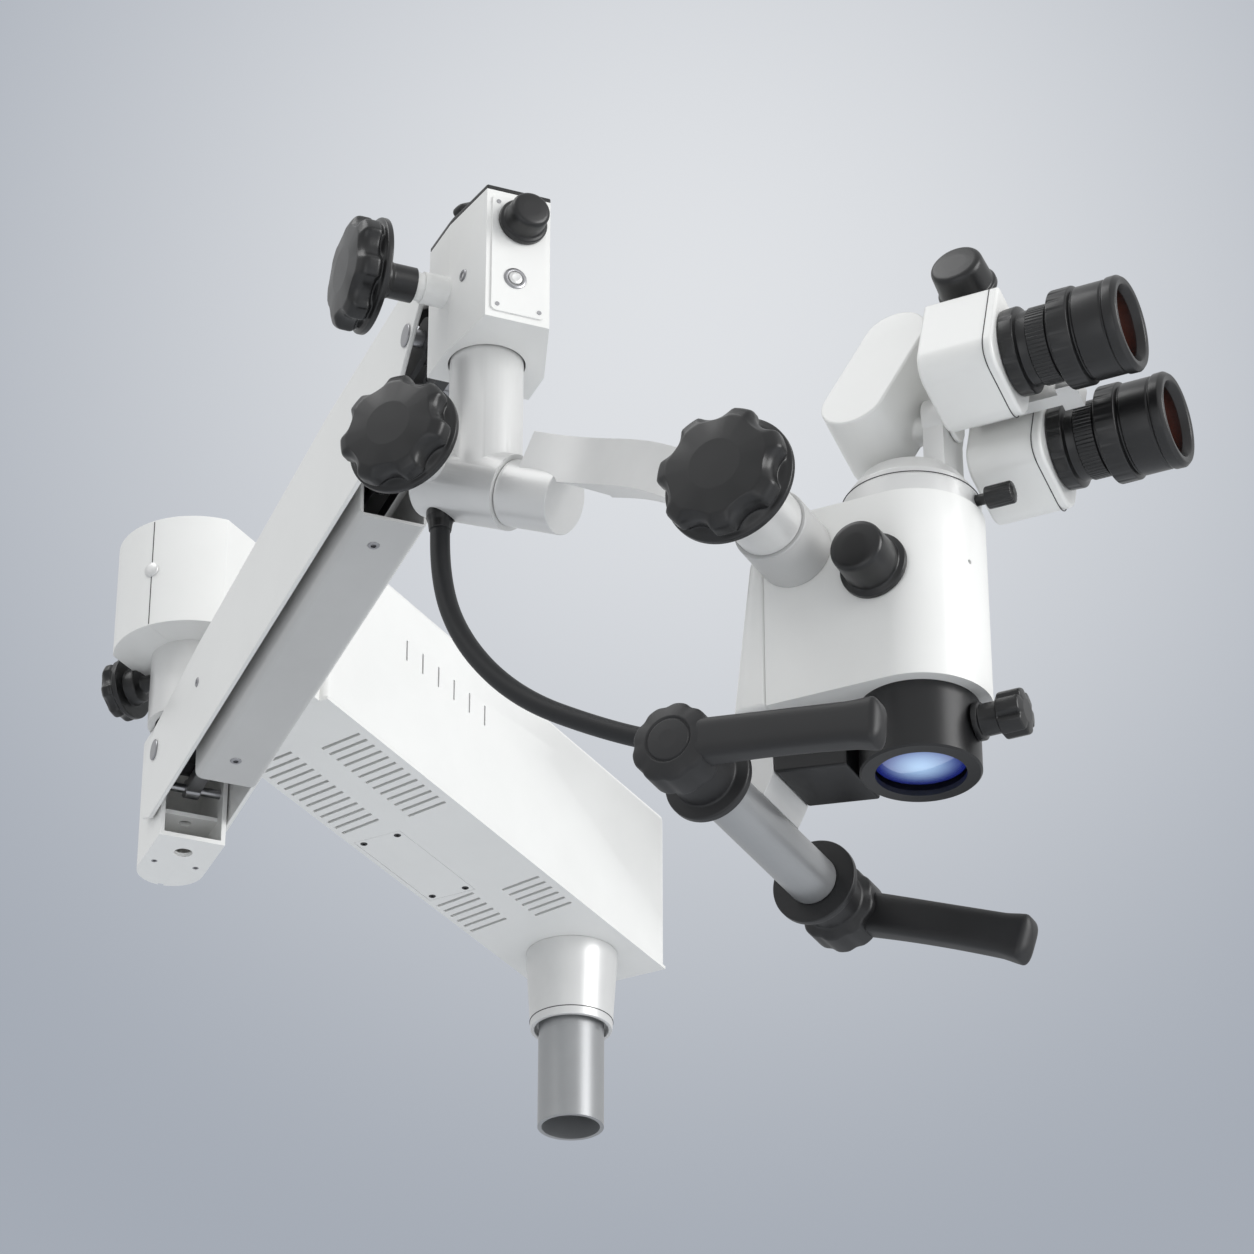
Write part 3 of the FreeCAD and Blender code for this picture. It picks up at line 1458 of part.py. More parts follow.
def binocular():
    """Make the binocular tube's base, housing, bridge, prism housings, knob and eyepieces."""
    neck = turned(
        "bino_foot",
        [
            ("12", "body_top + 2"),
            ("ring_bore - running_gap", "body_top + 2"),
            ("ring_bore - running_gap", "body_top + ring_height + 0.3"),
            ("ring_radius - 3", "body_top + ring_height + 0.3"),
            ("ring_radius - 3", "body_top + ring_height + 5"),
            ("ring_radius - 10", "body_top + ring_height + 15"),
            ("12", "body_top + ring_height + 15"),
        ],
    )
    drum_span = ("drum_start + bino_forward", "drum_end + bino_forward")
    post = box("bino_post", drum_span, ("2 - drum_radius", "drum_radius - 2"),
               ("body_top + ring_height + 1", "bino_height"))
    drum = rod("bino_drum", "drum_radius", "x", drum_span, ("0", "bino_height"))
    bore = rod("bino_drum_bore", "roll_pin + running_gap", "x",
               ("drum_start + bino_forward - 1", "drum_end + bino_forward + 1"),
               ("0", "bino_height"))
    piece("bino_base", cut("bino_base", fuse("bino_base_body", neck, post, drum), bore), SCOPE)

    run = Vector(
        value("pill_high_x - pill_low_x"), 0, value("pill_high_z - pill_low_z")
    )
    lean = math.degrees(math.atan2(run.x, run.z))
    lower = Placement(
        Vector(value("pill_low_x"), 0, value("pill_low_z")), Rotation(Y_AXIS, lean)
    )
    sheet.set("D1", "pill_span")
    sheet.set(
        "E1",
        "=sqrt((pill_high_x - pill_low_x)^2 + (pill_high_z - pill_low_z)^2)",
    )
    sheet.setAlias("E1", "pill_span")
    doc.recompute()

    def pill(name, inset):
        """Make the flat oval housing, drawn in by an inset, on the lower of its two centres."""
        sides = (f"pill_near + {inset}", f"pill_far - {inset}")
        radius = f"pill_radius - {inset}"
        ends = [
            rod(f"{name}_low", radius, "y", sides),
            rod(f"{name}_high", radius, "y", sides, ("0", "Sizes.pill_span")),
        ]
        flat = box(f"{name}_flat", (f"{inset} - pill_radius", radius), sides,
                   ("0", "Sizes.pill_span"))
        body = fuse(name, flat, *ends)
        body.Placement = lower
        return body

    shell = fuse(
        "housing_shell",
        pill("pill_outer", "0"),
        rod("housing_pin", "hinge_pin", "y", ("pill_far - 1", "pill_far + 11"),
            ("pill_high_x", "pill_high_z")),
        rod("housing_roll_pin", "roll_pin", "x", ("-12", "drum_end + 1")),
        rod("housing_roll_cap", "roll_pin + 4", "x", ("drum_end + 0.3", "drum_end + 3")),
    )
    piece("tube_housing", cut("tube_housing", shell, pill("pill_inner", "body_wall")), BINO)

    beam = prism(
        "bridge_beam",
        "xz",
        [
            ("bridge_start", "bridge_low"),
            ("bridge_end", "bridge_low"),
            ("bridge_end", "bridge_high - 8"),
            ("bridge_end - 8", "bridge_high"),
            ("bridge_start", "bridge_high - 6"),
        ],
        ("2 - ipd_reach", "eye_half + 4"),
    )
    arm = prism(
        "bridge_arm",
        "xz",
        [
            ("pill_high_x", "pill_high_z - 10"),
            ("bridge_start + 2", "bridge_low"),
            ("bridge_start + 2", "bridge_high - 8"),
            ("pill_high_x", "pill_high_z + 10"),
        ],
        ("pill_far + 0.3", "pill_far + 11"),
    )
    eye = rod("bridge_eye", "10", "y", ("pill_far + 0.3", "pill_far + 11"),
              ("pill_high_x", "pill_high_z"))
    web = prism(
        "bridge_web",
        "xz",
        [
            ("bridge_start", "bridge_low + 2"),
            ("bridge_start", "-4"),
            ("88", "-4"),
            ("88", "8"),
            ("bridge_end + 4", "14"),
            ("bridge_end", "bridge_low + 2"),
        ],
        ("-3.5", "3.5"),
    )
    stop = box("bridge_stop", ("79", "90"), ("-7.5", "7.5"), ("-4", "8"))
    groove = box("bridge_groove", ("rail_start", "rail_end"), ("-ipd_reach", "eye_half + 5"),
                 ("bridge_low - 1", "bridge_low + 4"))
    knob_hole = rod("bridge_knob_hole", "3 + running_gap", "y", ("-ipd_reach", "14 - ipd_reach"),
                    ("ipd_x", "ipd_z"))
    pin_hole = rod("bridge_pin_hole", "hinge_pin + running_gap", "y", ("0", "pill_far + 12"),
                   ("pill_high_x", "pill_high_z"))
    body = fuse("bridge_body", cut("bridge_grooved", beam, groove), arm, eye, web, stop)
    piece("tube_bridge", cut("tube_bridge", body, knob_hole, pin_hole), BINO)
    knob = cap_knob("ipd_knob", "ipd_flange", "14", "ipd_reach - 1.7", "20")
    piece("ipd_knob", knob, BINO * at("ipd_x", "0", "ipd_z") * TO_NEAR)

    for name, side in (("near", -1), ("far", 1)):
        middle = f"{side} * eye_half"
        house = box(f"prism_{name}_block", ("prism_start", "prism_end"),
                    (f"{middle} - prism_half", f"{middle} + prism_half"),
                    ("prism_low", "bridge_low - 0.3"))
        house = soften(f"prism_{name}_rounded", house, value("prism_corner"), lower_long)
        rail = box(f"prism_{name}_rail", ("rail_start + 0.3", "rail_end - 0.3"),
                   (f"{middle} - 12", f"{middle} + 12 - {side} * 0"),
                   ("bridge_low - 3", "bridge_low + 3.7"))
        socket = rod(f"prism_{name}_socket", "14 + running_gap", "x",
                     ("prism_end - 8", "prism_end + 1"), (middle, "0"))
        tunnel = rod(f"prism_{name}_tunnel", "10", "x", ("prism_start + 4", "prism_end"),
                     (middle, "0"))
        piece(f"prism_{name}", cut(f"prism_{name}", fuse(f"prism_{name}_body", house, rail),
                                   socket, tunnel), BINO)
        eyepiece(name, side)


def lower_long(middle, way):
    """Pick the long lower edges of a prism housing."""
    return abs(way.x) > 0.9 and middle.z < 0


def eyepiece(name, side):
    """Make one eyepiece with its focusing ring and cup, and the lens in it."""
    barrel = turned(
        f"eyepiece_{name}_turned",
        [
            ("10", "-7"),
            ("14", "-7"),
            ("14", "0.3"),
            ("eye_collar", "0.3"),
            ("eye_collar", "9"),
            ("eye_barrel", "9"),
            ("eye_barrel", "27"),
            ("diopter_radius", "27"),
            ("diopter_radius", "39"),
            ("eye_body", "39"),
            ("eye_body", "56.5"),
            ("eye_cup", "56.5"),
            ("eye_cup", "64"),
            ("eye_cup - 1", "65"),
            ("eye_opening", "65"),
            ("eye_opening", "49"),
            ("eye_opening - 3", "49"),
            ("eye_opening - 3", "9"),
            ("10", "9"),
        ],
    )
    frame = BINO * at("prism_end", f"{side} * eye_half", "0") * TO_FRONT
    lens = turned(
        f"eye_lens_{name}_turned",
        [
            ("0", "49.05"),
            ("eye_opening - 0.05", "49.05"),
            ("eye_opening - 0.05", "52"),
            ("0", "55"),
        ],
    )
    piece(f"eyepiece_{name}", group(f"eyepiece_{name}", barrel, lens), frame)


def cable():
    """Make the cable from the yoke to the microscope's rear, as two tubes end to end."""
    route = [Vector(along, 0, up) for along, up in CABLE_ROUTE]
    split = (route[3] + route[4]) / 2
    radius = value("cable_radius")
    for name, points in (
        ("cable_upper", route[:4] + [split]),
        ("cable_lower", [split] + route[4:]),
    ):
        tube = doc.addObject("Part::Feature", name)
        tube.Shape = bent_tube(name, points, radius)
        piece(name, tube, YOKE)


def bent_tube(name, points, radius):
    """Sweep a round section along straight runs joined by the largest arcs that fit."""
    edges = []
    start = points[0]
    length = 0
    for before, corner, after in zip(points, points[1:], points[2:]):
        come = (corner - before).normalize()
        leave = (after - corner).normalize()
        half = come.getAngle(leave) / 2
        shorter = min((corner - before).Length, (after - corner).Length)
        setback = 0.45 * shorter
        bend = setback / math.tan(half)
        middle_way = (leave - come).normalize()
        middle = corner + middle_way * (bend / math.cos(half) - bend)
        first = corner - come * setback
        last = corner + leave * setback
        edges.append(Part.LineSegment(start, first).toShape())
        edges.append(Part.Arc(first, middle, last).toShape())
        start = last
        print(f"{name} bend radius {bend:.1f}")
    edges.append(Part.LineSegment(start, points[-1]).toShape())
    path = Part.Wire(edges)
    length = path.Length
    ring = Part.Circle(points[0], points[1] - points[0], radius).toShape()
    tube = path.makePipeShell([Part.Wire([ring])], True, False)
    share = tube.Volume / (math.pi * radius**2 * length)
    print(f"{name} length {length:.1f}, volume over section times length {share:.4f}")
    return tube


PITCH = SCOPE * at("-pitch_back", "0", "pitch_height")
CABLE_ROUTE = ((-27, -20), (-27, -52), (-11, -96), (23, -137), (72, -167), (112, -186), (149, -207))

stand()
collar()
base_beam()
base_casing()
nose()
knuckle()
spring_arm()
head()
yoke()
cross_arm()
microscope_body()
microscope_optics()
handles()
binocular()
cable()

doc.recompute()
for item, frame in pieces:
    moved(item, frame)
doc.recompute()

os.makedirs("parts", exist_ok=True)
failed = [thing.Name for thing in doc.Objects if {"Invalid", "Error"} & set(thing.State)]
failed += [item.Label for item, _ in pieces if item.Shape.isNull() or not item.Shape.isValid()]
if failed:
    raise RuntimeError(f"no valid shape: {failed}")
for item, _ in pieces:
    item.Shape.exportStep(f"parts/{item.Label}.step")
print(f"{len(pieces)} sub-parts written")
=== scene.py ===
"""Finish, light and view of a surgical microscope on its balanced swing arm.

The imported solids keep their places. Knobs, eyepieces, handles, the cross arm and the cable
are drawn here as smooth surfaces over them, and every surface gets its finish.
Lengths inside the classes are millimetres; meshes are written in metres.
"""

import json
import logging
import math
from dataclasses import dataclass, field
from enum import Enum

import bmesh
import bpy
import numpy as np
from mathutils import Matrix, Vector

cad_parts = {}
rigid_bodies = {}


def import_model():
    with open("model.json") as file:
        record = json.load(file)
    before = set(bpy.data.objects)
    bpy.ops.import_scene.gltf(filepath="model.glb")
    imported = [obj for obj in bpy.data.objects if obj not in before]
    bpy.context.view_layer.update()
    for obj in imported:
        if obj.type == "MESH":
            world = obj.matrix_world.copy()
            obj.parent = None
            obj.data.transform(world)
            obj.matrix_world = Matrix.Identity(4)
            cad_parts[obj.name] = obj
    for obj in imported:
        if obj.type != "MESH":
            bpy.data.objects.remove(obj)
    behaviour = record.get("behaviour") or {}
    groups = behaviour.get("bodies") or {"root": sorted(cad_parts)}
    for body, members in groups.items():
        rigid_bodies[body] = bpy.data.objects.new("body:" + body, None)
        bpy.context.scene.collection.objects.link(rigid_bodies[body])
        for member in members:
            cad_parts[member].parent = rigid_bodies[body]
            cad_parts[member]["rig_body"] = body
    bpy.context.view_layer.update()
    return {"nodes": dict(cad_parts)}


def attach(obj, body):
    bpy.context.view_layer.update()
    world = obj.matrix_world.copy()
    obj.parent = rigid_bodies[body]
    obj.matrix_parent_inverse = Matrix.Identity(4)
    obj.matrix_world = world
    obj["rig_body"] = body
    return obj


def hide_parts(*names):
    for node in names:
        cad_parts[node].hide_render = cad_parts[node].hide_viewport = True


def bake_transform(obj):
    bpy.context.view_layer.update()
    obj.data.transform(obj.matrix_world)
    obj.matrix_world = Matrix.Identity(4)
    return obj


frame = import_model()

LOG = logging.getLogger("microscope")
MM = 0.001
Array = np.ndarray


# Frames of the sub-assemblies.


def spin(axis: str, degrees: float) -> Array:
    """Return the 3 by 3 matrix of a turn about one axis.

    Args:
        axis: The axis, x, y or z.
        degrees: The angle by the right-hand rule.

    Returns:
        The rotation matrix.
    """
    angle = math.radians(degrees)
    cos, sin = math.cos(angle), math.sin(angle)
    rows = {
        "x": [[1, 0, 0], [0, cos, -sin], [0, sin, cos]],
        "y": [[cos, 0, sin], [0, 1, 0], [-sin, 0, cos]],
        "z": [[cos, -sin, 0], [sin, cos, 0], [0, 0, 1]],
    }
    return np.array(rows[axis])


@dataclass(frozen=True)
class Place:
    """A frame in the object, in millimetres."""

    origin: tuple[float, float, float] = (0.0, 0.0, 0.0)
    turn: Array = field(default_factory=lambda: np.eye(3))

    def move(self, x: float = 0.0, y: float = 0.0, z: float = 0.0) -> "Place":
        """Return the frame moved along its own axes."""
        return Place(tuple(np.array(self.origin) + self.turn @ np.array([x, y, z])), self.turn)

    def rotate(self, axis: str, degrees: float) -> "Place":
        """Return the frame turned about one of its own axes."""
        return Place(self.origin, self.turn @ spin(axis, degrees))

    def put(self, points: Array) -> Array:
        """Carry points from this frame to the object's frame, in metres.

        Args:
            points: Points in millimetres, with x, y and z in the last axis.

        Returns:
            The same points in metres in the object's frame.
        """
        return (points @ self.turn.T + np.array(self.origin)) * MM


@dataclass(frozen=True)
class Rig:
    """Where each sub-assembly's own frame lies at rest, from lengths and angles."""

    base: Place = Place()
    reach: float = 511.0
    arm_yaw: float = 51.0
    pivot_forward: float = 12.0
    pivot_height: float = 61.0
    arm_rise: float = 3.03
    arm_length: float = 483.0
    head_forward: float = 61.4
    yoke_drop: float = 130.7
    yoke_yaw: float = 41.3
    roll_slope: float = 24.0
    tube_roll: float = 19.0

    @property
    def knuckle(self) -> Place:
        """Frame of the knuckle, on the nose's upright axis."""
        return self.base.move(self.reach).rotate("z", self.arm_yaw)

    @property
    def arm(self) -> Place:
        """Frame of the spring arm, on its lower pivot, with +X along the arm."""
        pivot = self.knuckle.move(self.pivot_forward, 0, self.pivot_height)
        return pivot.rotate("y", -self.arm_rise)

    @property
    def head(self) -> Place:
        """Frame of the head, on the upright tube's axis at the upper pivot's height."""
        return self.arm.move(self.arm_length).rotate("y", self.arm_rise).move(self.head_forward)

    @property
    def yoke(self) -> Place:
        """Frame of the yoke, where the upright tube meets the roll tube."""
        return self.head.move(z=-self.yoke_drop).rotate("z", self.yoke_yaw)

    @property
    def roll(self) -> Place:
        """Frame of the roll axis, which points forward and down."""
        return self.yoke.rotate("y", self.roll_slope)

    @property
    def scope(self) -> Place:
        """Frame of the microscope's body, on its optical axis at the body's lower face."""
        return self.yoke.move(250, 0, -199.1)

    @property
    def pitch(self) -> Place:
        """Frame of the tilt axis, which runs sideways through the body."""
        return self.scope.move(-49, 0, 84)

    @property
    def tube(self) -> Place:
        """Frame of the binocular tube, rolled about the forward axis."""
        return self.scope.move(5.5, 0, 162.5).rotate("x", -self.tube_roll)


RIG = Rig()


# Surfaces.


def angles(count: int) -> Array:
    """Return even angles round an axis, in radians, without the last full turn."""
    return np.linspace(0, 2 * np.pi, count, endpoint=False)


def filleted(corners: list[tuple[float, float, float]], steps: int = 5) -> Array:
    """Round the corners of a flat line.

    Each corner (u, v, r) is replaced by an arc of radius r that touches both of its sides,
    the radius limited so that the arcs of neighbours do not meet.

    Args:
        corners: Corners with their fillet radius.
        steps: Points on each arc.

    Returns:
        The rounded line as an array of (u, v).
    """
    raw = np.array(corners, float)
    line = [raw[0, :2]]
    for before, here, after in zip(raw, raw[1:], raw[2:]):
        come = before[:2] - here[:2]
        leave = after[:2] - here[:2]
        short = min(np.linalg.norm(come), np.linalg.norm(leave))
        come = come / np.linalg.norm(come)
        leave = leave / np.linalg.norm(leave)
        half = math.acos(float(np.clip(come @ leave, -1, 1))) / 2
        if here[2] <= 0 or half > 1.56:
            line.append(here[:2])
            continue
        back = min(here[2] / math.tan(half), 0.48 * short)
        share = np.linspace(0, 1, steps)[:, None]
        first = here[:2] + come * back
        last = here[:2] + leave * back
        arc = (1 - share) ** 2 * first + 2 * share * (1 - share) * here[:2] + share**2 * last
        line.extend(arc)
    line.append(raw[-1, :2])
    return np.array(line)


def skin(name: str, rows: Array, place: Place, ends: bool = True, loop: bool = False,
         crease: float = 38.0) -> bpy.types.Object:
    """Make a closed surface from rings of points.

    The point in row i and column j is joined to its neighbours (i + 1, j) and (i, j + 1),
    the columns run round, and each open end is closed by a fan to the ring's middle.

    Args:
        name: Name of the piece.
        rows: Array of rows, columns and coordinates, in millimetres.
        place: Frame that the points are in.
        ends: Close the first and last ring.
        loop: Join the last ring to the first instead.
        crease: Angle in degrees over which an edge stays sharp.

    Returns:
        The finished object, at the origin, with its place in its mesh.
    """
    count, around = rows.shape[:2]
    points = rows.reshape(-1, 3)
    index = np.arange(count * around).reshape(count, around)
    upper = np.roll(index, -1, axis=0) if loop else index[1:]
    lower = index if loop else index[:-1]
    quads = np.stack(
        [lower, np.roll(lower, -1, axis=1), np.roll(upper, -1, axis=1), upper], axis=-1
    ).reshape(-1, 4)
    faces = quads.tolist()
    if ends and not loop:
        middle = np.array([rows[0].mean(axis=0), rows[-1].mean(axis=0)])
        points = np.concatenate([points, middle])
        low = np.stack([np.roll(index[0], -1), index[0],
                        np.full(around, count * around)], axis=-1)
        high = np.stack([index[-1], np.roll(index[-1], -1),
                         np.full(around, count * around + 1)], axis=-1)
        faces += low.tolist() + high.tolist()
    triangles = quads[:, [0, 1, 2]]
    others = quads[:, [0, 2, 3]]
    centre = points.mean(axis=0)
    shifted = points - centre
    volume = sum(
        float(np.einsum("ij,ij->i", shifted[t[:, 0]],
                        np.cross(shifted[t[:, 1]], shifted[t[:, 2]])).sum())
        for t in (triangles, others)
    )
    if volume < 0:
        faces = [face[::-1] for face in faces]
    mesh = bpy.data.meshes.new(name)
    mesh.from_pydata(place.put(points).tolist(), [], faces)
    mesh.validate()
    mesh.shade_smooth()
    mesh.set_sharp_from_angle(angle=math.radians(crease))
    piece = bpy.data.objects.new(name, mesh)
    bpy.context.scene.collection.objects.link(piece)
    return piece


def turned(name: str, profile: Array, place: Place, around: int = 96,
           gain: Array | None = None, ends: bool = True, crease: float = 38.0
           ) -> bpy.types.Object:
    """Turn a profile about the frame's Z axis.

    The point at station z and angle a is (r g cos a, r g sin a, z), where r is the profile's
    radius and g the gain at that station and angle.

    Args:
        name: Name of the piece.
        profile: Array of (radius, station).
        place: Frame of the axis.
        around: Points round the axis.
        gain: Optional array of stations by angles that scales the radius.
        ends: Close both ends.
        crease: Angle in degrees over which an edge stays sharp.

    Returns:
        The finished object.
    """
    angle = angles(around)
    radius = profile[:, :1] * (np.ones((len(profile), around)) if gain is None else gain)
    rows = np.stack(
        [radius * np.cos(angle), radius * np.sin(angle),
         np.repeat(profile[:, 1:], around, axis=1)], axis=-1
    )
    return skin(name, rows, place, ends=ends, crease=crease)


def squared(around: int, power: float) -> Array:
    """Return a rounded square's outline, |u|^power + |v|^power = 1, as an array of (u, v)."""
    angle = angles(around)
    cos, sin = np.cos(angle), np.sin(angle)
    return np.stack(
        [np.sign(cos) * np.abs(cos) ** (2 / power), np.sign(sin) * np.abs(sin) ** (2 / power)],
        axis=-1,
    )


def tube(name: str, path: Array, radius: float, place: Place, loop: bool = False,
         around: int = 16) -> bpy.types.Object:
    """Carry a circle along a path.

    Each ring stands square to the path. Its first direction is the last ring's first
    direction with the part along the path taken out, so the rings do not twist.

    Args:
        name: Name of the piece.
        path: Points of the path.
        radius: Radius of the circle.
        place: Frame that the path is in.
        loop: Join the end to the start.
        around: Points round the circle.

    Returns:
        The finished object.
    """
    ahead = np.roll(path, -1, axis=0) - np.roll(path, 1, axis=0)
    if not loop:
        ahead[0] = path[1] - path[0]
        ahead[-1] = path[-1] - path[-2]
    ahead /= np.linalg.norm(ahead, axis=1, keepdims=True)
    sides = []
    side = np.cross(ahead[0], [0.31, 0.89, 0.33])
    for way in ahead:
        side = side - way * (side @ way)
        side = side / np.linalg.norm(side)
        sides.append(side)
    first = np.array(sides)
    second = np.cross(ahead, first)
    angle = angles(around)[None, :, None]
    ring = np.cos(angle) * first[:, None] + np.sin(angle) * second[:, None]
    return skin(name, path[:, None] + radius * ring, place, ends=not loop, loop=loop)


def circle(radius: float, station: float = 0.0, count: int = 96) -> Array:
    """Return points round a circle about Z at a station."""
    angle = angles(count)
    return np.stack([radius * np.cos(angle), radius * np.sin(angle),
                     np.full(count, station)], axis=-1)


def smooth_step(share: Array) -> Array:
    """Return a smooth rise from 0 to 1, 3 s squared less 2 s cubed."""
    held = np.clip(share, 0, 1)
    return held * held * (3 - 2 * held)


# Finishes.


class Relief(Enum):
    """How much of a surface's fine relief is coarse."""

    FINE = 0.3
    ORANGE_PEEL = 0.9


def new_group(name: str, inputs: dict[str, float | tuple], outputs: dict[str, str]):
    """Make a shader node group with named sockets.

    Args:
        name: Name of the group.
        inputs: Socket names with their default, a number or a colour.
        outputs: Socket names with their socket type.

    Returns:
        The node tree, its input node and its output node.
    """
    tree = bpy.data.node_groups.new(name, "ShaderNodeTree")
    for label, default in inputs.items():
        kind = "NodeSocketFloat" if isinstance(default, (int, float)) else "NodeSocketColor"
        if label == "Vector":
            kind = "NodeSocketVector"
        socket = tree.interface.new_socket(label, in_out="INPUT", socket_type=kind)
        if label != "Vector":
            socket.default_value = default
    for label, kind in outputs.items():
        tree.interface.new_socket(label, in_out="OUTPUT", socket_type=kind)
    return tree, tree.nodes.new("NodeGroupInput"), tree.nodes.new("NodeGroupOutput")


def math_node(tree, kind: str, first, second) -> bpy.types.NodeSocket:
    """Add a math node whose inputs are sockets or numbers, and return its result."""
    node = tree.nodes.new("ShaderNodeMath")
    node.operation = kind
    for slot, value in zip(node.inputs, (first, second)):
        if isinstance(value, (int, float)):
            slot.default_value = value
        else:
            tree.links.new(value, slot)
    return node.outputs[0]


def relief_group() -> bpy.types.NodeTree:
    """Build the group for fine relief: two noises of different sizes, the coarse one weighted by
    its share, added.
    """
    tree, source, result = new_group(
        "fine relief",
        {"Vector": (0, 0, 0), "Scale": 900.0, "Coarse Share": 0.3},
        {"Height": "NodeSocketFloat", "Mask": "NodeSocketFloat"},
    )
    fine = tree.nodes.new("ShaderNodeTexNoise")
    coarse = tree.nodes.new("ShaderNodeTexNoise")
    fine.inputs["Detail"].default_value = 3
    coarse.inputs["Detail"].default_value = 2
    tree.links.new(source.outputs["Vector"], fine.inputs["Vector"])
    tree.links.new(source.outputs["Vector"], coarse.inputs["Vector"])
    tree.links.new(source.outputs["Scale"], fine.inputs["Scale"])
    tree.links.new(math_node(tree, "MULTIPLY", source.outputs["Scale"], 0.12),
                   coarse.inputs["Scale"])
    part = math_node(tree, "MULTIPLY", coarse.outputs["Fac"], source.outputs["Coarse Share"])
    tree.links.new(math_node(tree, "ADD", fine.outputs["Fac"], part), result.inputs["Height"])
    tree.links.new(coarse.outputs["Fac"], result.inputs["Mask"])
    return tree


def tone_group() -> bpy.types.NodeTree:
    """Build the group that shifts a colour a little over the surface, and its roughness."""
    tree, source, result = new_group(
        "surface tone",
        {"Vector": (0, 0, 0), "Light": (0.8, 0.8, 0.8, 1), "Dark": (0.7, 0.7, 0.7, 1),
         "Scale": 14.0, "Rough": 0.4, "Rough Spread": 0.08},
        {"Color": "NodeSocketColor", "Roughness": "NodeSocketFloat"},
    )
    cloud = tree.nodes.new("ShaderNodeTexNoise")
    cloud.inputs["Detail"].default_value = 5
    cloud.inputs["Roughness"].default_value = 0.6
    tree.links.new(source.outputs["Vector"], cloud.inputs["Vector"])
    tree.links.new(source.outputs["Scale"], cloud.inputs["Scale"])
    ramp = tree.nodes.new("ShaderNodeMapRange")
    ramp.inputs["From Min"].default_value = 0.32
    ramp.inputs["From Max"].default_value = 0.68
    tree.links.new(cloud.outputs["Fac"], ramp.inputs["Value"])
    mix = tree.nodes.new("ShaderNodeMix")
    mix.data_type = "RGBA"
    tree.links.new(ramp.outputs["Result"], mix.inputs["Factor"])
    tree.links.new(source.outputs["Dark"], mix.inputs["A"])
    tree.links.new(source.outputs["Light"], mix.inputs["B"])
    tree.links.new(mix.outputs["Result"], result.inputs["Color"])
    swing = math_node(tree, "SUBTRACT", ramp.outputs["Result"], 0.5)
    swing = math_node(tree, "MULTIPLY", swing, source.outputs["Rough Spread"])
    tree.links.new(math_node(tree, "ADD", source.outputs["Rough"], swing),
                   result.inputs["Roughness"])
    return tree


def linear(colour: tuple[float, float, float]) -> tuple[float, float, float, float]:
    """Turn a colour as seen on screen into the linear values that shaders use."""
    seen = np.array(colour)
    low = seen / 12.92
    high = ((seen + 0.055) / 1.055) ** 2.4
    return (*np.where(seen <= 0.04045, low, high).tolist(), 1.0)


@dataclass(frozen=True)
class Finish:
    """One surface finish, with its colour as seen on screen."""

    name: str
    colour: tuple[float, float, float]
    slot: str
    rough: float = 0.4
    spread: float = 0.08
    metallic: float = 0.0
    coat: float = 0.0
    shade: float = 0.94
    relief: Relief = Relief.FINE
    relief_scale: float = 1400.0
    relief_depth: float = 0.00002
    stretch: tuple[float, float, float] = (1.0, 1.0, 1.0)

    def make(self) -> bpy.types.Material:
        """Return the material, built on first use.

        Returns:
            The material with its nodes.
        """
        found = bpy.data.materials.get(self.name)
        if found:
            return found
        material = bpy.data.materials.new(self.name)
        material.use_nodes = True
        tree = material.node_tree
        shader = tree.nodes["Principled BSDF"]
        where = tree.nodes.new("ShaderNodeTexCoord")
        lay = tree.nodes.new("ShaderNodeMapping")
        lay.inputs["Scale"].default_value = self.stretch
        tree.links.new(where.outputs["Object"], lay.inputs["Vector"])
        tone = tree.nodes.new("ShaderNodeGroup")
        tone.node_tree = bpy.data.node_groups["surface tone"]
        tone.inputs["Light"].default_value = linear(self.colour)
        tone.inputs["Dark"].default_value = linear(tuple(c * self.shade for c in self.colour))
        tone.inputs["Rough"].default_value = self.rough
        tone.inputs["Rough Spread"].default_value = self.spread
        relief = tree.nodes.new("ShaderNodeGroup")
        relief.node_tree = bpy.data.node_groups["fine relief"]
        relief.inputs["Scale"].default_value = self.relief_scale
        relief.inputs["Coarse Share"].default_value = self.relief.value
        bump = tree.nodes.new("ShaderNodeBump")
        bump.inputs["Strength"].default_value = 0.5
        bump.inputs["Distance"].default_value = self.relief_depth
        for node in (tone, relief):
            tree.links.new(lay.outputs["Vector"], node.inputs["Vector"])
        tree.links.new(tone.outputs["Color"], shader.inputs["Base Color"])
        tree.links.new(tone.outputs["Roughness"], shader.inputs["Roughness"])
        tree.links.new(relief.outputs["Height"], bump.inputs["Height"])
        tree.links.new(bump.outputs["Normal"], shader.inputs["Normal"])
        shader.inputs["Metallic"].default_value = self.metallic
        shader.inputs["Coat Weight"].default_value = self.coat
        shader.inputs["Coat Roughness"].default_value = 0.12
        return material


WHITE_PAINT = Finish("white satin paint", (0.93, 0.93, 0.92), "white_paint", 0.36, 0.06,
                     coat=0.25, shade=0.985, relief=Relief.ORANGE_PEEL, relief_scale=1500,
                     relief_depth=0.000012)
GREY_PAINT = Finish("grey satin paint", (0.76, 0.76, 0.755), "grey_paint", 0.42, 0.06,
                    shade=0.97, relief=Relief.ORANGE_PEEL, relief_depth=0.000012)
FRAME_PAINT = Finish("dark frame paint", (0.2, 0.2, 0.205), "grey_paint", 0.5)
SILVER = Finish("pearl silver", (0.88, 0.88, 0.875), "silver_metal", 0.36, 0.06, metallic=0.35,
                shade=0.97, relief_scale=1800, relief_depth=0.00001)
ANODISED = Finish("anodised tube", (0.66, 0.665, 0.67), "silver_metal", 0.38, 0.06,
                  metallic=0.6, shade=0.96, relief_scale=2000, relief_depth=0.00001)
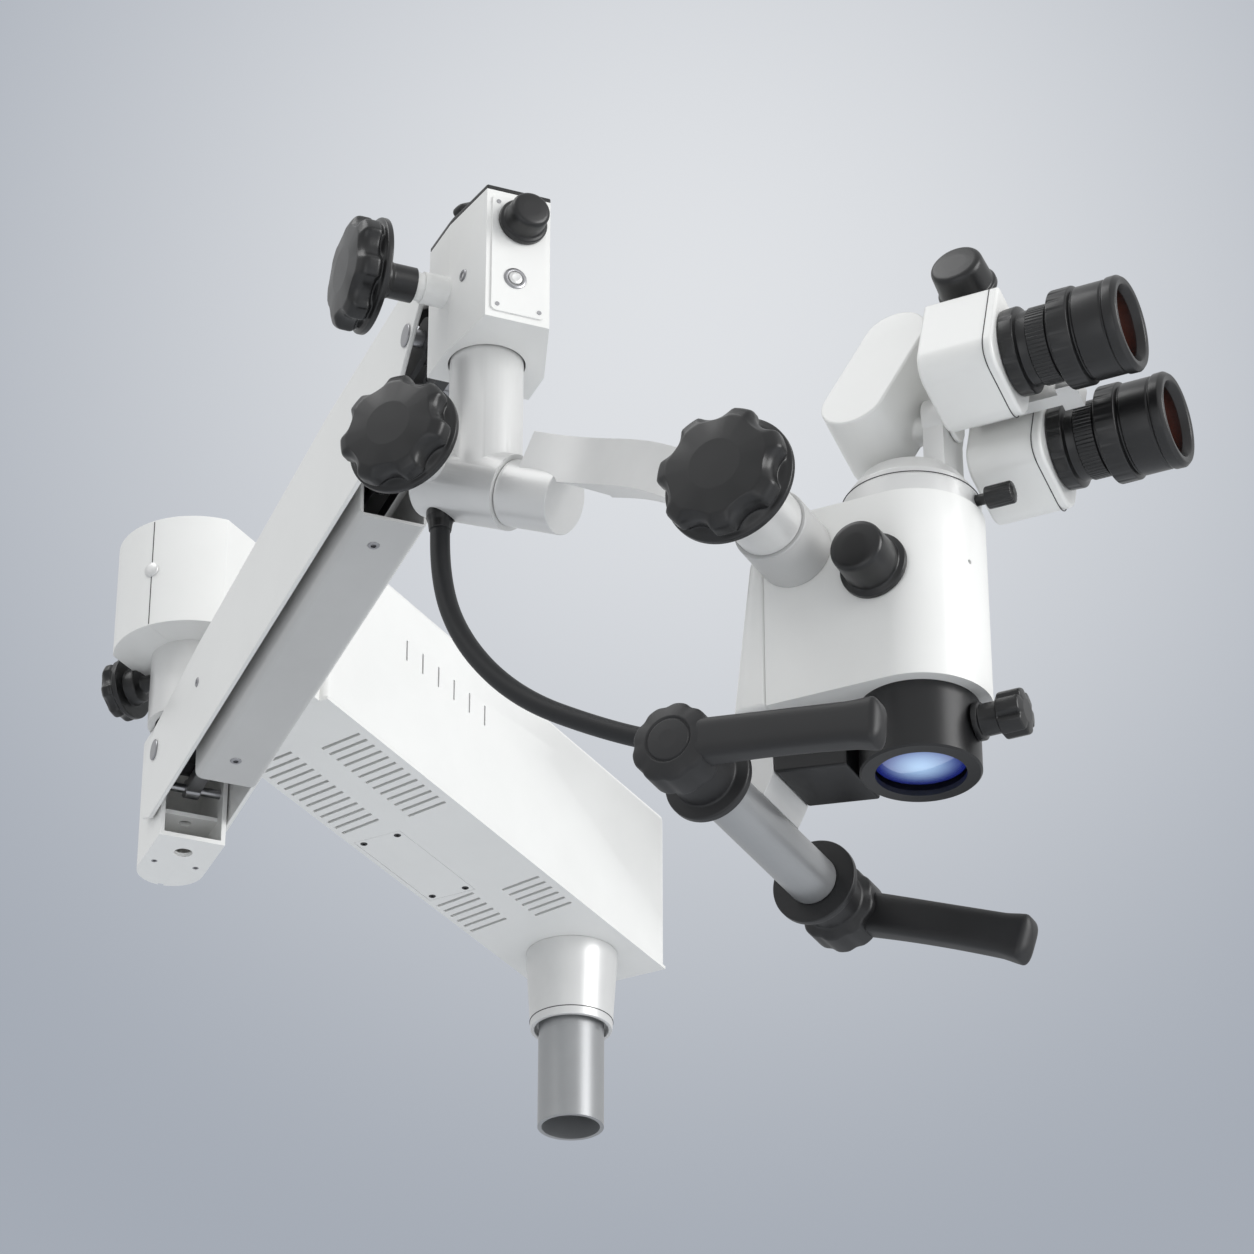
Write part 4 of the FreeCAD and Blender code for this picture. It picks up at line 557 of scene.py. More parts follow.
STEEL = Finish("brushed steel", (0.66, 0.66, 0.67), "bright_steel", 0.32, 0.1, metallic=1.0,
               relief_scale=700, stretch=(1.0, 1.0, 0.06))
BLACK_PLASTIC = Finish("black moulded plastic", (0.09, 0.09, 0.093), "black_plastic", 0.36,
                       0.1, coat=0.1, shade=0.85, relief_scale=1600, relief_depth=0.00003)
BLACK_METAL = Finish("black anodised metal", (0.1, 0.1, 0.105), "black_metal", 0.36, 0.08,
                     shade=0.9, relief_scale=1800, relief_depth=0.00002)
GRIP_PLASTIC = Finish("black grip plastic", (0.12, 0.12, 0.125), "black_plastic", 0.46, 0.1,
                      shade=0.85, relief_scale=1200, relief_depth=0.00004)
CABLE_RUBBER = Finish("cable jacket", (0.085, 0.09, 0.1), "cable_jacket", 0.5, 0.08,
                      shade=0.85, relief_scale=900, relief_depth=0.00003)
BRONZE = Finish("bush bronze", (0.6, 0.48, 0.3), "bronze", 0.35, 0.08, metallic=1.0)
# Painted shade: a thin dark line laid along a gap between parts, where shadow falls.
SEAM_SHADE = Finish("seam shadow", (0.24, 0.24, 0.25), "grey_paint", 0.7)


def lens_material(name: str, inner: tuple, outer: tuple, glow: float) -> bpy.types.Material:
    """Make coated glass whose painted light and reflection run from the middle to the rim by the
    ring attribute.

    Args:
        name: Name of the material.
        inner: Painted colour in the middle, as seen on screen.
        outer: Painted colour at the rim.
        glow: Strength of the painted light that the glass gives in its middle.

    Returns:
        The material.
    """
    material = bpy.data.materials.new(name)
    material.use_nodes = True
    tree = material.node_tree
    shader = tree.nodes["Principled BSDF"]
    ring = tree.nodes.new("ShaderNodeAttribute")
    ring.attribute_name = "ring"
    ramp = tree.nodes.new("ShaderNodeValToRGB")
    ramp.color_ramp.interpolation = "EASE"
    ramp.color_ramp.elements[0].color = linear(inner)
    ramp.color_ramp.elements[1].color = linear(outer)
    tree.links.new(ring.outputs["Fac"], ramp.inputs["Fac"])
    tree.links.new(ramp.outputs["Color"], shader.inputs["Base Color"])
    shader.inputs["Roughness"].default_value = 0.06
    shader.inputs["Coat Weight"].default_value = 1.0
    shader.inputs["Coat Roughness"].default_value = 0.03
    if glow:
        tree.links.new(ramp.outputs["Color"], shader.inputs["Emission Color"])
        shader.inputs["Emission Strength"].default_value = glow
    return material


def lens_surface(name: str, place: Place, radius: float, edge: float, rise: float,
                 back: float, steps: int) -> bpy.types.Object:
    """Make a lens, domed by the square of the radius, with its ring attribute.

    The station at radius r is edge + rise (1 less the square of r over the rim's radius), and
    the attribute runs from 0 in the middle to 1 at the rim.

    Args:
        name: Name of the piece.
        place: Frame of the optical axis.
        radius: Radius of the rim.
        edge: Station of the rim's front.
        rise: How far the middle stands out from the rim, with its sign.
        back: Station of the flat back.
        steps: Rings on the dome.

    Returns:
        The lens.
    """
    rings = np.linspace(0.4, radius, steps)
    dome = edge + rise * (1 - (rings / radius) ** 2)
    flat = np.array([[radius, back], [0.4, back]])
    profile = np.concatenate([np.stack([rings, dome], axis=-1), flat])
    piece = turned(name, profile, place, 96)
    ring = np.append(np.repeat(profile[:, 0] / radius, 96), [0.0, 0.0])
    attribute = piece.data.attributes.new("ring", "FLOAT", "POINT")
    attribute.data.foreach_set("value", ring.astype(np.float32))
    return piece


# Fitting pieces to the frame.


@dataclass
class Shop:
    """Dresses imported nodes, and joins new pieces to the bodies that carry them."""

    made: int = 0

    def paint(self, node: str, finish: Finish) -> None:
        """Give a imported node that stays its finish."""
        target = frame["nodes"][node].data
        target.materials.clear()
        target.materials.append(finish.make())

    def fit(self, piece: bpy.types.Object, body: str, finish: Finish, *nodes: str
            ) -> bpy.types.Object:
        """Give a new piece its finish and body.

        Args:
            piece: The piece, in place.
            body: Name of the body that carries it.
            finish: Its finish.
            nodes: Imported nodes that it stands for.

        Returns:
            The same piece.
        """
        piece.data.materials.clear()
        piece.data.materials.append(finish.make())
        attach(piece, body)
        if nodes:
            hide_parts(*nodes)
        self.made += 1
        LOG.info("%s on %s", piece.name, body)
        return piece

    def soften(self, node: str, finish: Finish, width: float, segments: int = 3
               ) -> bpy.types.Object:
        """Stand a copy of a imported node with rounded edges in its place.

        Args:
            node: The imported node.
            finish: Its finish.
            width: Width of the rounding in millimetres.
            segments: Steps across the rounding.

        Returns:
            The new piece.
        """
        source = frame["nodes"][node]
        mesh = source.data.copy()
        mesh.name = f"{node}_soft"
        shape = bmesh.new()
        shape.from_mesh(mesh)
        bmesh.ops.remove_doubles(shape, verts=shape.verts, dist=2e-6)
        bmesh.ops.dissolve_limit(shape, angle_limit=math.radians(0.6), verts=shape.verts,
                                 edges=shape.edges)
        shape.to_mesh(mesh)
        shape.free()
        mesh.shade_smooth()
        mesh.set_sharp_from_angle(angle=math.radians(32))
        piece = bpy.data.objects.new(f"{node}_soft", mesh)
        bpy.context.scene.collection.objects.link(piece)
        bevel = piece.modifiers.new("edge", "BEVEL")
        bevel.width = width * MM
        bevel.segments = segments
        bevel.limit_method = "ANGLE"
        bevel.angle_limit = math.radians(32)
        bevel.harden_normals = True
        bevel.use_clamp_overlap = True
        body = source["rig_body"]
        return self.fit(piece, body, finish, node)


# Knobs.


@dataclass
class StarKnob:
    """A lobed clamping knob on its round flange, with its hub and stem."""

    name: str
    body: str
    place: Place
    reach: float
    radius: float = 33.0
    depth: float = 18.0
    stem_start: float = 20.0
    hub: float = 5.6
    lobes: int = 7
    phase: float = 0.0

    def build(self, shop: Shop) -> None:
        """Make the knob's surface.

        The lobes come from a circle of radius 12/33 of the knob's, centred at 40/33 of it:
        along the angle a from its middle its near side lies at D cos a less the root of
        (q squared less D squared sin squared a). The outline is a soft smaller of that and 1,
        and it acts only where the radius is near its largest, so that the face stays smooth.

        Args:
            shop: The shop that fits the piece.
        """
        big, reach, depth = self.radius, self.reach, self.depth
        profile = filleted([
            (self.hub, self.stem_start, 0),
            (self.hub, reach - 9, 1.5),
            (max(11, self.hub + 0.5), reach - 7, 1.5),
            (max(12.5, self.hub + 1), reach, 0.6),
            (big, reach, 0.8),
            (big, reach + 3.2, 1.2),
            (big * 0.9, reach + 4.6, 1.2),
            (big * 0.985, reach + 7, 3.0),
            (big * 0.985, reach + depth - 2.5, 5.5),
            (big * 0.8, reach + depth + 0.6, 6.0),
            (big * 0.4, reach + depth + 1.8, 8.0),
            (0.4, reach + depth + 2, 0),
        ], steps=9)
        count = 196
        angle = angles(count)
        step = 2 * np.pi / self.lobes
        local = (angle + self.phase + step / 2) % step - step / 2
        far, cut = 40 / 33, 12 / 33
        inside = np.clip(cut**2 - (far * np.sin(local)) ** 2, 0, None)
        near = np.where(inside > 0, far * np.cos(local) - np.sqrt(inside), 1.6)
        sharp = 26.0
        outline = -np.log(np.exp(-sharp * near) + np.exp(-sharp)) / sharp
        outline = outline / outline.max()
        weight = smooth_step((profile[:, 1] - (reach + 4.2)) / 2.2)[:, None]
        fade = smooth_step((profile[:, 0] / big - 0.66) / 0.3)[:, None]
        gain = 1 - weight * fade * (1 - outline[None, :])
        piece = turned(self.name, profile, self.place, count, gain, crease=50)
        shop.fit(piece, self.body, BLACK_PLASTIC, self.name.removesuffix("_form"))


@dataclass
class CapKnob:
    """A smooth round knob on a flange."""

    name: str
    body: str
    place: Place
    start: float
    flange: float
    radius: float
    depth: float
    shaft_start: float = -8.0
    grooves: int = 0

    def build(self, shop: Shop) -> None:
        """Make the knob's surface, with shallow grip grooves where it has them.

        Args:
            shop: The shop that fits the piece.
        """
        start, big = self.start, self.radius
        profile = filleted([
            (2.9, start + self.shaft_start, 0),
            (2.9, start, 0),
            (self.flange, start, 0.8),
            (self.flange, start + 3.2, 1.2),
            (big + 0.8, start + 4.2, 1.2),
            (big + 0.4, start + self.depth * 0.55, 3.0),
            (big, start + self.depth, 3.6),
            (big * 0.45, start + self.depth + 0.3, 4.0),
            (0.3, start + self.depth + 0.35, 0),
        ], steps=7)
        gain = None
        count = 128
        if self.grooves:
            angle = angles(count)
            wave = 0.5 + 0.5 * np.cos(self.grooves * angle)
            held = smooth_step((profile[:, 1] - start - 5) / 1.5)
            held = held * smooth_step(profile[:, 0] / big * 3 - 1.9)
            gain = 1 - 0.06 * held[:, None] * (wave[None, :] ** 4)
        piece = turned(self.name, profile, self.place, count, gain, crease=50)
        shop.fit(piece, self.body, BLACK_PLASTIC, self.name.removesuffix("_form"))


# Sub-assemblies.


@dataclass
class Screw:
    """A round screw head with a hexagonal socket."""

    radius: float = 3.5
    height: float = 1.2

    def build(self, name: str, place: Place, body: str, shop: Shop,
              finish: Finish = STEEL) -> None:
        """Make the head as a turned surface whose socket rows become a hexagon.

        Args:
            name: Name of the piece.
            place: Frame with +Z out of the surface.
            body: Body that carries it.
            shop: The shop that fits the piece.
            finish: Its finish.
        """
        big, high = self.radius, self.height
        profile = filleted([
            (big * 0.96, -0.6, 0),
            (big, 0, 0.1),
            (big, high * 0.55, 0.3),
            (big * 0.86, high, 0.3),
            (big * 0.52, high, 0.12),
            (big * 0.48, high - big * 0.5, 0),
        ], steps=3)
        count = 48
        angle = angles(count)
        local = (angle + np.pi / 6) % (np.pi / 3) - np.pi / 6
        hexagon = math.cos(np.pi / 6) / np.cos(local)
        inner = (profile[:, 0] < big * 0.6)[:, None]
        gain = np.where(inner, hexagon[None, :], 1.0)
        shop.fit(turned(name, profile, place, count, gain, crease=30), body, finish)


@dataclass
class Stand:
    """The column's tube with the cone-shaped collar over it."""

    def build(self, shop: Shop) -> None:
        """Dress the tube and collar, and add a dark ring of painted shade near the collar's lower
        end.

        Args:
            shop: The shop that fits the pieces.
        """
        shop.soften("column_tube", ANODISED, 0.5)
        shop.soften("collar_sleeve", SILVER, 0.7)
        shop.paint("swivel_bushes", BRONZE)
        # Painted shade: a dark ring round the collar near its lower end.
        seam = circle(30.95, 84.5)
        shop.fit(tube("collar_seam_shade", seam, 0.35, RIG.base, loop=True, around=8), "base_arm",
                 SEAM_SHADE)


@dataclass
class BaseArm:
    """The boxed base arm with its floor, hatch, nose shells and neck."""

    nose_tip: float = RIG.reach + 53.5
    button_height: float = 182.0

    def build(self, shop: Shop) -> None:
        """Dress the casing and add a line of painted shade down the nose, screws and the nose's
        button.

        Args:
            shop: The shop that fits the pieces.
        """
        shop.soften("base_housing", WHITE_PAINT, 0.6)
        shop.soften("base_floor", WHITE_PAINT, 0.35, 2)
        shop.soften("service_hatch", WHITE_PAINT, 0.35, 2)
        shop.soften("nose_shell_left", WHITE_PAINT, 1.2)
        shop.soften("nose_shell_right", WHITE_PAINT, 1.2)
        shop.soften("neck_sleeve", SILVER, 0.7)
        shop.paint("base_beam", FRAME_PAINT)
        shop.paint("power_supply", STEEL)
        button = RIG.base.move(self.nose_tip - 0.4, 0, self.button_height).rotate("y", 90)
        profile = filleted([(4.6, -2, 0), (4.6, 0.2, 0), (5.4, 0.3, 0.3), (5.2, 1.6, 1.2),
                            (2.6, 2.2, 1.4), (0.3, 2.3, 0)], steps=5)
        shop.fit(turned("nose_button", profile, button, 48), "base_arm", SILVER)
        # Painted shade: a dark line down the nose's tip, where the two nose shells meet.
        seam = np.array([[self.nose_tip, 0, high] for high in np.linspace(141, 219, 14)])
        shop.fit(tube("nose_seam_shade", seam, 0.35, RIG.base, around=8), "base_arm", SEAM_SHADE)
        StarKnob("arm_lock_knob_form", "arm_lock", RIG.base.move(RIG.reach, 0, 132).rotate("x", 90),
                 48, 21.0, 14.0, stem_start=26).build(shop)
        for number, (x, y) in enumerate(((135, -41), (230, -41), (135, -13), (230, -13))):
            place = RIG.base.move(x, y, 140.1).rotate("x", 180)
            Screw(2.5, 0.5).build(f"hatch_screw_{number}", place, "base_arm", shop, BLACK_METAL)


@dataclass
class Knuckle:
    """The bracket under the nose that carries the spring arm's lower pivots."""

    def build(self, shop: Shop) -> None:
        """Dress the bracket and add the two screws in its floor.

        Args:
            shop: The shop that fits the pieces.
        """
        shop.soften("knuckle_bracket", WHITE_PAINT, 0.8)
        for number, side in enumerate((-14, 14)):
            place = RIG.knuckle.move(-18, side, -2.9).rotate("x", 180)
            Screw(2.4, 0.4).build(f"bracket_screw_{number}", place, "knuckle", shop)


@dataclass
class SpringArm:
    """The balanced arm: plates, cover, beam, link and spring."""

    cover_low: float = -56.0
    face: float = 26.4

    def build(self, shop: Shop) -> None:
        """Dress the arm and add the screws of its cover and plates.

        Args:
            shop: The shop that fits the pieces.
        """
        for node in ("side_plate_left", "side_plate_right"):
            shop.soften(node, WHITE_PAINT, 1.1)
        shop.soften("arm_cover", GREY_PAINT, 0.5, 2)
        shop.soften("arm_beam", FRAME_PAINT, 0.6, 2)
        shop.soften("pivot_pins", STEEL, 0.8)
        shop.soften("parallel_link", STEEL, 0.6)
        shop.paint("spring_cartridge", STEEL)
        for number, along in enumerate((94, 354)):
            place = RIG.arm.move(along, 0, self.cover_low + 0.2).rotate("x", 180)
            Screw(3.6, 0.9).build(f"cover_screw_{number}", place, "arm", shop)
        for name, side in (("left", -1), ("right", 1)):
            place = RIG.arm.move(92, side * self.face, -2).rotate("x", 90 * -side)
            Screw(3.2, 0.8).build(f"plate_screw_{name}", place, "arm", shop)
        CapKnob("balance_knob_form", "balance", RIG.arm.move(RIG.arm_length - 28), 38, 11, 8,
                12, -26).build(shop)


@dataclass
class Head:
    """The head over the upright tube, with its panel, knobs and button."""

    def build(self, shop: Shop) -> None:
        """Dress the head and make its knobs and the ring round the button.

        Args:
            shop: The shop that fits the pieces.
        """
        shop.soften("head_shell", WHITE_PAINT, 1.6)
        shop.soften("head_panel", WHITE_PAINT, 0.4)
        shop.soften("head_top_cap", BLACK_PLASTIC, 0.8)
        shop.soften("head_frame", FRAME_PAINT, 0.6, 2)
        shop.paint("panel_screws", STEEL)
        front = RIG.head.move(48.2)
        ring = front.move(0, -2, -24).rotate("y", 90)
        profile = filleted([(6.6, -0.4, 0), (6.6, 0.5, 0.3), (5.6, 0.9, 0.3),
                            (4.4, 0.9, 0.3), (4.35, -0.4, 0)], steps=4)
        shop.fit(turned("button_ring", profile, ring, 64, ends=False), "head", STEEL)
        plug = RIG.head.move(22, -22.9, -10.6).rotate("z", 9.4).rotate("x", 90)
        Screw(3.6, 0.7).build("head_plug", plug, "head", shop)
        cap = filleted([(3.9, -6, 0), (3.9, 1.2, 0.5), (2.4, 1.7, 1.0), (0.3, 1.5, 0)], steps=5)
        shop.fit(turned("head_button_form", cap, ring, 48), "button", SILVER, "head_button")
        StarKnob("head_side_knob_form", "side_lock", RIG.head.move(0, 0, -9).rotate("x", 90),
                 67, stem_start=44.5, hub=10.0).build(shop)
        StarKnob("head_top_knob_form", "top_lock", RIG.head, 37.5, 23.0, 12.0,
                 stem_start=29).build(shop)
        CapKnob("head_front_knob_form", "front_dial",
                RIG.head.move(0, 1.4, 13.4).rotate("y", 90), 48.5, 14, 11, 16).build(shop)


@dataclass
class Yoke:
    """The elbow that turns in the head, with its clamping knob and cable gland."""

    def build(self, shop: Shop) -> None:
        """Dress the elbow and make the knob and gland.

        Args:
            shop: The shop that fits the pieces.
        """
        shop.soften("yoke_elbow", SILVER, 0.6)
        StarKnob("yoke_knob_form", "yoke_lock", RIG.roll.move(-25).rotate("x", 90), 48,
                 stem_start=13, phase=0.35).build(shop)
        profile = filleted([(7.9, -8.2, 0), (7.9, -12, 0.8), (6.8, -15, 2), (6.2, -19.8, 0.4),
                            (5.6, -20, 0)], steps=5)
        count = 64
        angle = angles(count)
        wave = smooth_step((-10 - profile[:, 1]) / 1.5)[:, None]
        gain = 1 - 0.03 * wave * (np.cos(10 * angle)[None, :] > 0.5)
        place = RIG.yoke.move(-27)
        shop.fit(turned("cable_gland_form", profile, place, count, gain), "yoke",
                 BLACK_PLASTIC, "cable_gland")


@dataclass
class Carrier:
    """The roll shaft with the curved cross arm that carries the microscope."""

    def build(self, shop: Shop) -> None:
        """Dress the shaft and keep the arm's solid with rounded edges.

        Args:
            shop: The shop that fits the pieces.
        """
        shop.soften("roll_shaft", SILVER, 0.6)
        shop.soften("cross_arm", SILVER, 1.6)
        StarKnob("tilt_knob_form", "tilt_lock", RIG.pitch.rotate("x", 90), 113.8, 35.0,
                 stem_start=94, phase=0.2).build(shop)


@dataclass
class Microscope:
    """The microscope's body with its optics, knobs and top ring."""

    def lens(self, shop: Shop) -> None:
        """Make the lit objective lens.

        Args:
            shop: The shop that fits the piece.
        """
        piece = lens_surface("objective_lens_form", RIG.scope, 23.2, -30.5, -2.6, -27.0, 24)
        shop.fit(piece, "lens_cell", BLACK_METAL, "objective_lens")
        piece.data.materials[0] = lens_material(
            "lit objective glass", (0.68, 0.8, 0.93), (0.12, 0.16, 0.5), 0.42
        )

    def build(self, shop: Shop) -> None:
        """Dress the body and make its knobs.

        Args:
            shop: The shop that fits the pieces.
        """
        shop.soften("body_shell", WHITE_PAINT, 1.6)
        shop.soften("rear_cover", WHITE_PAINT, 2.2)
        shop.soften("pitch_collar", GREY_PAINT, 0.8)
        shop.soften("rear_bracket", SILVER, 1.8)
        shop.soften("handle_bar", ANODISED, 1.0)
        shop.soften("lamp_housing", BLACK_METAL, 1.5)
        shop.soften("objective_barrel", BLACK_METAL, 0.8)
        shop.soften("dovetail_ring", SILVER, 0.6)
        self.lens(shop)
        CapKnob("zoom_knob_form", "zoom", RIG.scope.move(-5.6, 0, 64).rotate("x", 90), 37.8,
                18, 14.2, 25, -20).build(shop)
        profile = filleted([(4, 28, 0), (4, 31, 0), (10, 31, 0.5), (10, 34, 0.8), (8.4, 34.5, 0.5),
                            (8.4, 44, 0.8), (12, 45, 0.8), (12, 57, 1.6), (6, 58, 3),
                            (0.3, 58, 0)], steps=5)
        count = 96
        angle = angles(count)
        held = smooth_step((profile[:, 1] - 44.6) / 1.0) * smooth_step(profile[:, 0] / 4 - 1.8)
        flute = np.clip(np.cos(6 * angle), 0, None) ** 3
        gain = 1 - 0.16 * held[:, None] * flute[None, :]
        place = RIG.scope.move(0, 0, -15).rotate("y", 90)
        shop.fit(turned("focus_knob_form", profile, place, count, gain), "focus",
                 BLACK_PLASTIC, "focus_knob")
        profile = filleted([(3, 29.5, 0), (3, 41.5, 0.3), (6, 42, 0.6), (6, 56, 1.2),
                            (2.5, 57, 1.5), (0.3, 57, 0)], steps=5)
        angle = angles(72)
        held = smooth_step((profile[:, 1] - 42.4) / 0.6) * smooth_step(profile[:, 0] / 2 - 1.9)
        gain = 1 - 0.07 * held[:, None] * (np.cos(18 * angle)[None, :] > 0)
        place = RIG.scope.move(0, 0, 112.5).rotate("y", 90)
        shop.fit(turned("clamp_screw_form", profile, place, 72, gain, crease=25), "clamp",
                 BLACK_PLASTIC, "clamp_screw")
        # Painted shade: a dark ring on the dovetail ring's top edge, in the gap above it.
        seat = circle(36.35, 118.15)
        shop.fit(tube("ring_seam_shade", seat * [0.985, 0.985, 1], 0.3, RIG.scope, True, 8),
                 "microscope", SEAM_SHADE)


@dataclass
class Handle:
    """One turning handle: flange, hub, lobed head and a long grip that points forward."""

    name: str
    body: str
    side: int
    dip: float
    length: float = 111.0

    def grip(self, shop: Shop, place: Place) -> bpy.types.Object:
        """Make the grip.

        Its section is a rounded rectangle that runs along a line which sags by the power
        1.6 of the way along, thin in the middle and thicker at the lip. The last part
        shrinks as the root of 1 less the square of the way into it.

        Args:
            shop: Not used.
            place: Frame on the bar's axis.

        Returns:
            The grip.
        """
        share = np.concatenate([np.linspace(0, 0.95, 40), 0.95 + 0.05 * np.sin(
            np.linspace(0.1, np.pi / 2, 10))])
        along = share * self.length
        sag = -6.0 * share**1.6
        tall = 11.3 - 0.6 * np.sin(np.pi * share) + 1.2 * smooth_step((share - 0.84) / 0.12)
        wide = 8.2 - 1.0 * np.sin(np.pi * share)
        close = np.sqrt(np.clip(1 - np.clip((share - 0.955) / 0.0452, 0, 1) ** 2, 0.002, 1))
        outline = squared(48, 4.5)
        rows = np.zeros((len(share), 48, 3))
        rows[:, :, 0] = along[:, None]
        rows[:, :, 1] = self.side * 100.3 + wide[:, None] * close[:, None] * outline[None, :, 0]
        rows[:, :, 2] = sag[:, None] + tall[:, None] * close[:, None] * outline[None, :, 1]
        return skin(f"{self.name}_grip", rows, place, crease=60)

    def build(self, shop: Shop) -> None:
        """Make the handle's grip and hub.

        Args:
            shop: The shop that fits the pieces.
        """
        place = RIG.scope.move(-87, 0, -49).rotate("y", self.dip)
        hub = filleted([
            (13.6, 61.2, 0), (23, 61.2, 0.8), (23, 65.6, 1.4), (16.4, 67, 1.5), (16, 86, 2.5),
            (21.2, 89, 2.5), (21.2, 106.5, 3.0), (12.5, 109, 1.5), (11.4, 108.2, 0.4),
            (10.8, 109.3, 1.0), (5, 109.6, 2.0), (0.3, 109.6, 0),
        ], steps=6)
        count = 144
        angle = angles(count)
        held = smooth_step((hub[:, 1] - 86) / 3) * smooth_step((hub[:, 0] - 13) / 5)
        lobes = (0.5 - 0.5 * np.cos(9 * angle)) ** 2
        gain = 1 - 0.055 * held[:, None] * lobes[None, :]
        turn = place.rotate("x", 90 * -self.side)
        piece = turned(f"{self.name}_form", hub, turn, count, gain, crease=50)
        shop.fit(piece, self.body, GRIP_PLASTIC, self.name)
        shop.fit(self.grip(shop, place), self.body, GRIP_PLASTIC)


@dataclass
class Eyepiece:
    """An eyepiece with its focusing ring, soft cup and coated lens with a painted reflection and
    glow.
    """

    name: str
    body: str
    side: int

    def build(self, shop: Shop) -> None:
        """Make the barrel with its ribs, and the lens.

        Ribs are shallow dips of the radius, repeated round the axis by the sign of a cosine.

        Args:
            shop: The shop that fits the pieces.
        """
        place = RIG.tube.move(66, self.side * 33).rotate("y", 90)
        profile = filleted([
            (10.2, -6.5, 0), (13.8, -6.5, 0.4), (13.8, 0.3, 0), (22.6, 0.4, 1.0), (23, 8.4, 1.2),
            (19.8, 9.4, 0.6), (19.5, 14, 0.2), (20.4, 14.6, 0.2), (20.4, 24.5, 0.2),
            (19.4, 25.2, 0.2), (19.4, 27.2, 0.2), (25.9, 27.6, 1.0), (25.9, 38.6, 1.0),
            (23.2, 39.4, 0.3), (23.2, 40.4, 0.3), (24.5, 41, 0.8), (24.5, 55.5, 0.8),
            (23.8, 56.5, 0.4), (25.2, 57.7, 1.0), (25.3, 62.4, 1.6), (23.4, 64.8, 1.4),
            (20.2, 64.4, 1.4), (18.2, 60, 1.4), (18.1, 52.2, 0.3), (15.4, 51.4, 0.3),
            (15.1, 30, 0), (10.2, 10, 0),
        ], steps=5)
        count = 240
        angle = angles(count)
        station, radius = profile[:, 1], profile[:, 0]
        outside = radius > 20.1

        def band(low: float, high: float) -> Array:
            """Return 1 for outside stations between two limits."""
            return ((station > low) & (station < high) & outside).astype(float)

        fine = (np.cos(60 * angle) > 0.1).astype(float)
        coarse = (np.cos(24 * angle) > 0.72).astype(float)
        wide = (np.cos(12 * angle) > 0.8).astype(float)
        gain = 1 - 0.015 * band(14.4, 24.6)[:, None] * fine
        gain = gain - 0.016 * band(28.4, 37.8)[:, None] * coarse
        gain = gain - 0.01 * band(1.2, 8.0)[:, None] * wide
        piece = turned(f"{self.name}_form", profile, place, count, gain, ends=False, crease=30)
        shop.fit(piece, self.body, BLACK_PLASTIC, self.name)
        lens = lens_surface(f"{self.name}_lens", place, 17.9, 50.2, 4.4, 48.6, 20)
        shop.fit(lens, self.body, BLACK_METAL)
        # Painted reflection and glow: the lens runs from dark red in its middle to bright orange at
        # its rim and gives light of its own.
        found = bpy.data.materials.get("eye glass with painted reflection")
        lens.data.materials[0] = found or lens_material(
            "eye glass with painted reflection", (0.5, 0.08, 0.04), (0.98, 0.42, 0.12), 0.35
        )


@dataclass
class BinocularTube:
    """The inclinable binocular tube on the microscope's top ring."""

    prism_half: float = 25.5
    prism_low: float = -26.5
    prism_high: float = 25.45
    prism_corner: float = 13.0
    eye_half: float = 33.0

    def build(self, shop: Shop) -> None:
        """Dress the tube's parts and make its knob and eyepieces.

        Args:
            shop: The shop that fits the pieces.
        """
        shop.soften("bino_base", SILVER, 0.8)
        shop.soften("tube_housing", WHITE_PAINT, 4.5, 5)
        shop.soften("tube_bridge", SILVER, 1.4)
        half, low, high = self.prism_half, self.prism_low, self.prism_high
        edge = filleted([
            (0, high, 0), (half, high, 2.4), (half, low, self.prism_corner),
            (-half, low, self.prism_corner), (-half, high, 2.4), (0, high, 0),
        ], steps=9)[:-1]
        for name, side in (("near", -1), ("far", 1)):
            shop.soften(f"prism_{name}", WHITE_PAINT, 2.4)
            # Painted shade: a dark line round each prism housing near its front, in the groove
            # there.
            path = np.insert(edge + [side * self.eye_half, 0], 0, 61.0, axis=1)
            shop.fit(tube(f"prism_seam_shade_{name}", path, 0.3, RIG.tube, True, 8), f"{name}_tube",
                     SEAM_SHADE)
        CapKnob("ipd_knob_form", "ipd", RIG.tube.move(42, 0, 47).rotate("x", 90), 44.3, 16,
                14, 20).build(shop)
        Eyepiece("eyepiece_near", "near_eye", -1).build(shop)
        Eyepiece("eyepiece_far", "far_eye", 1).build(shop)


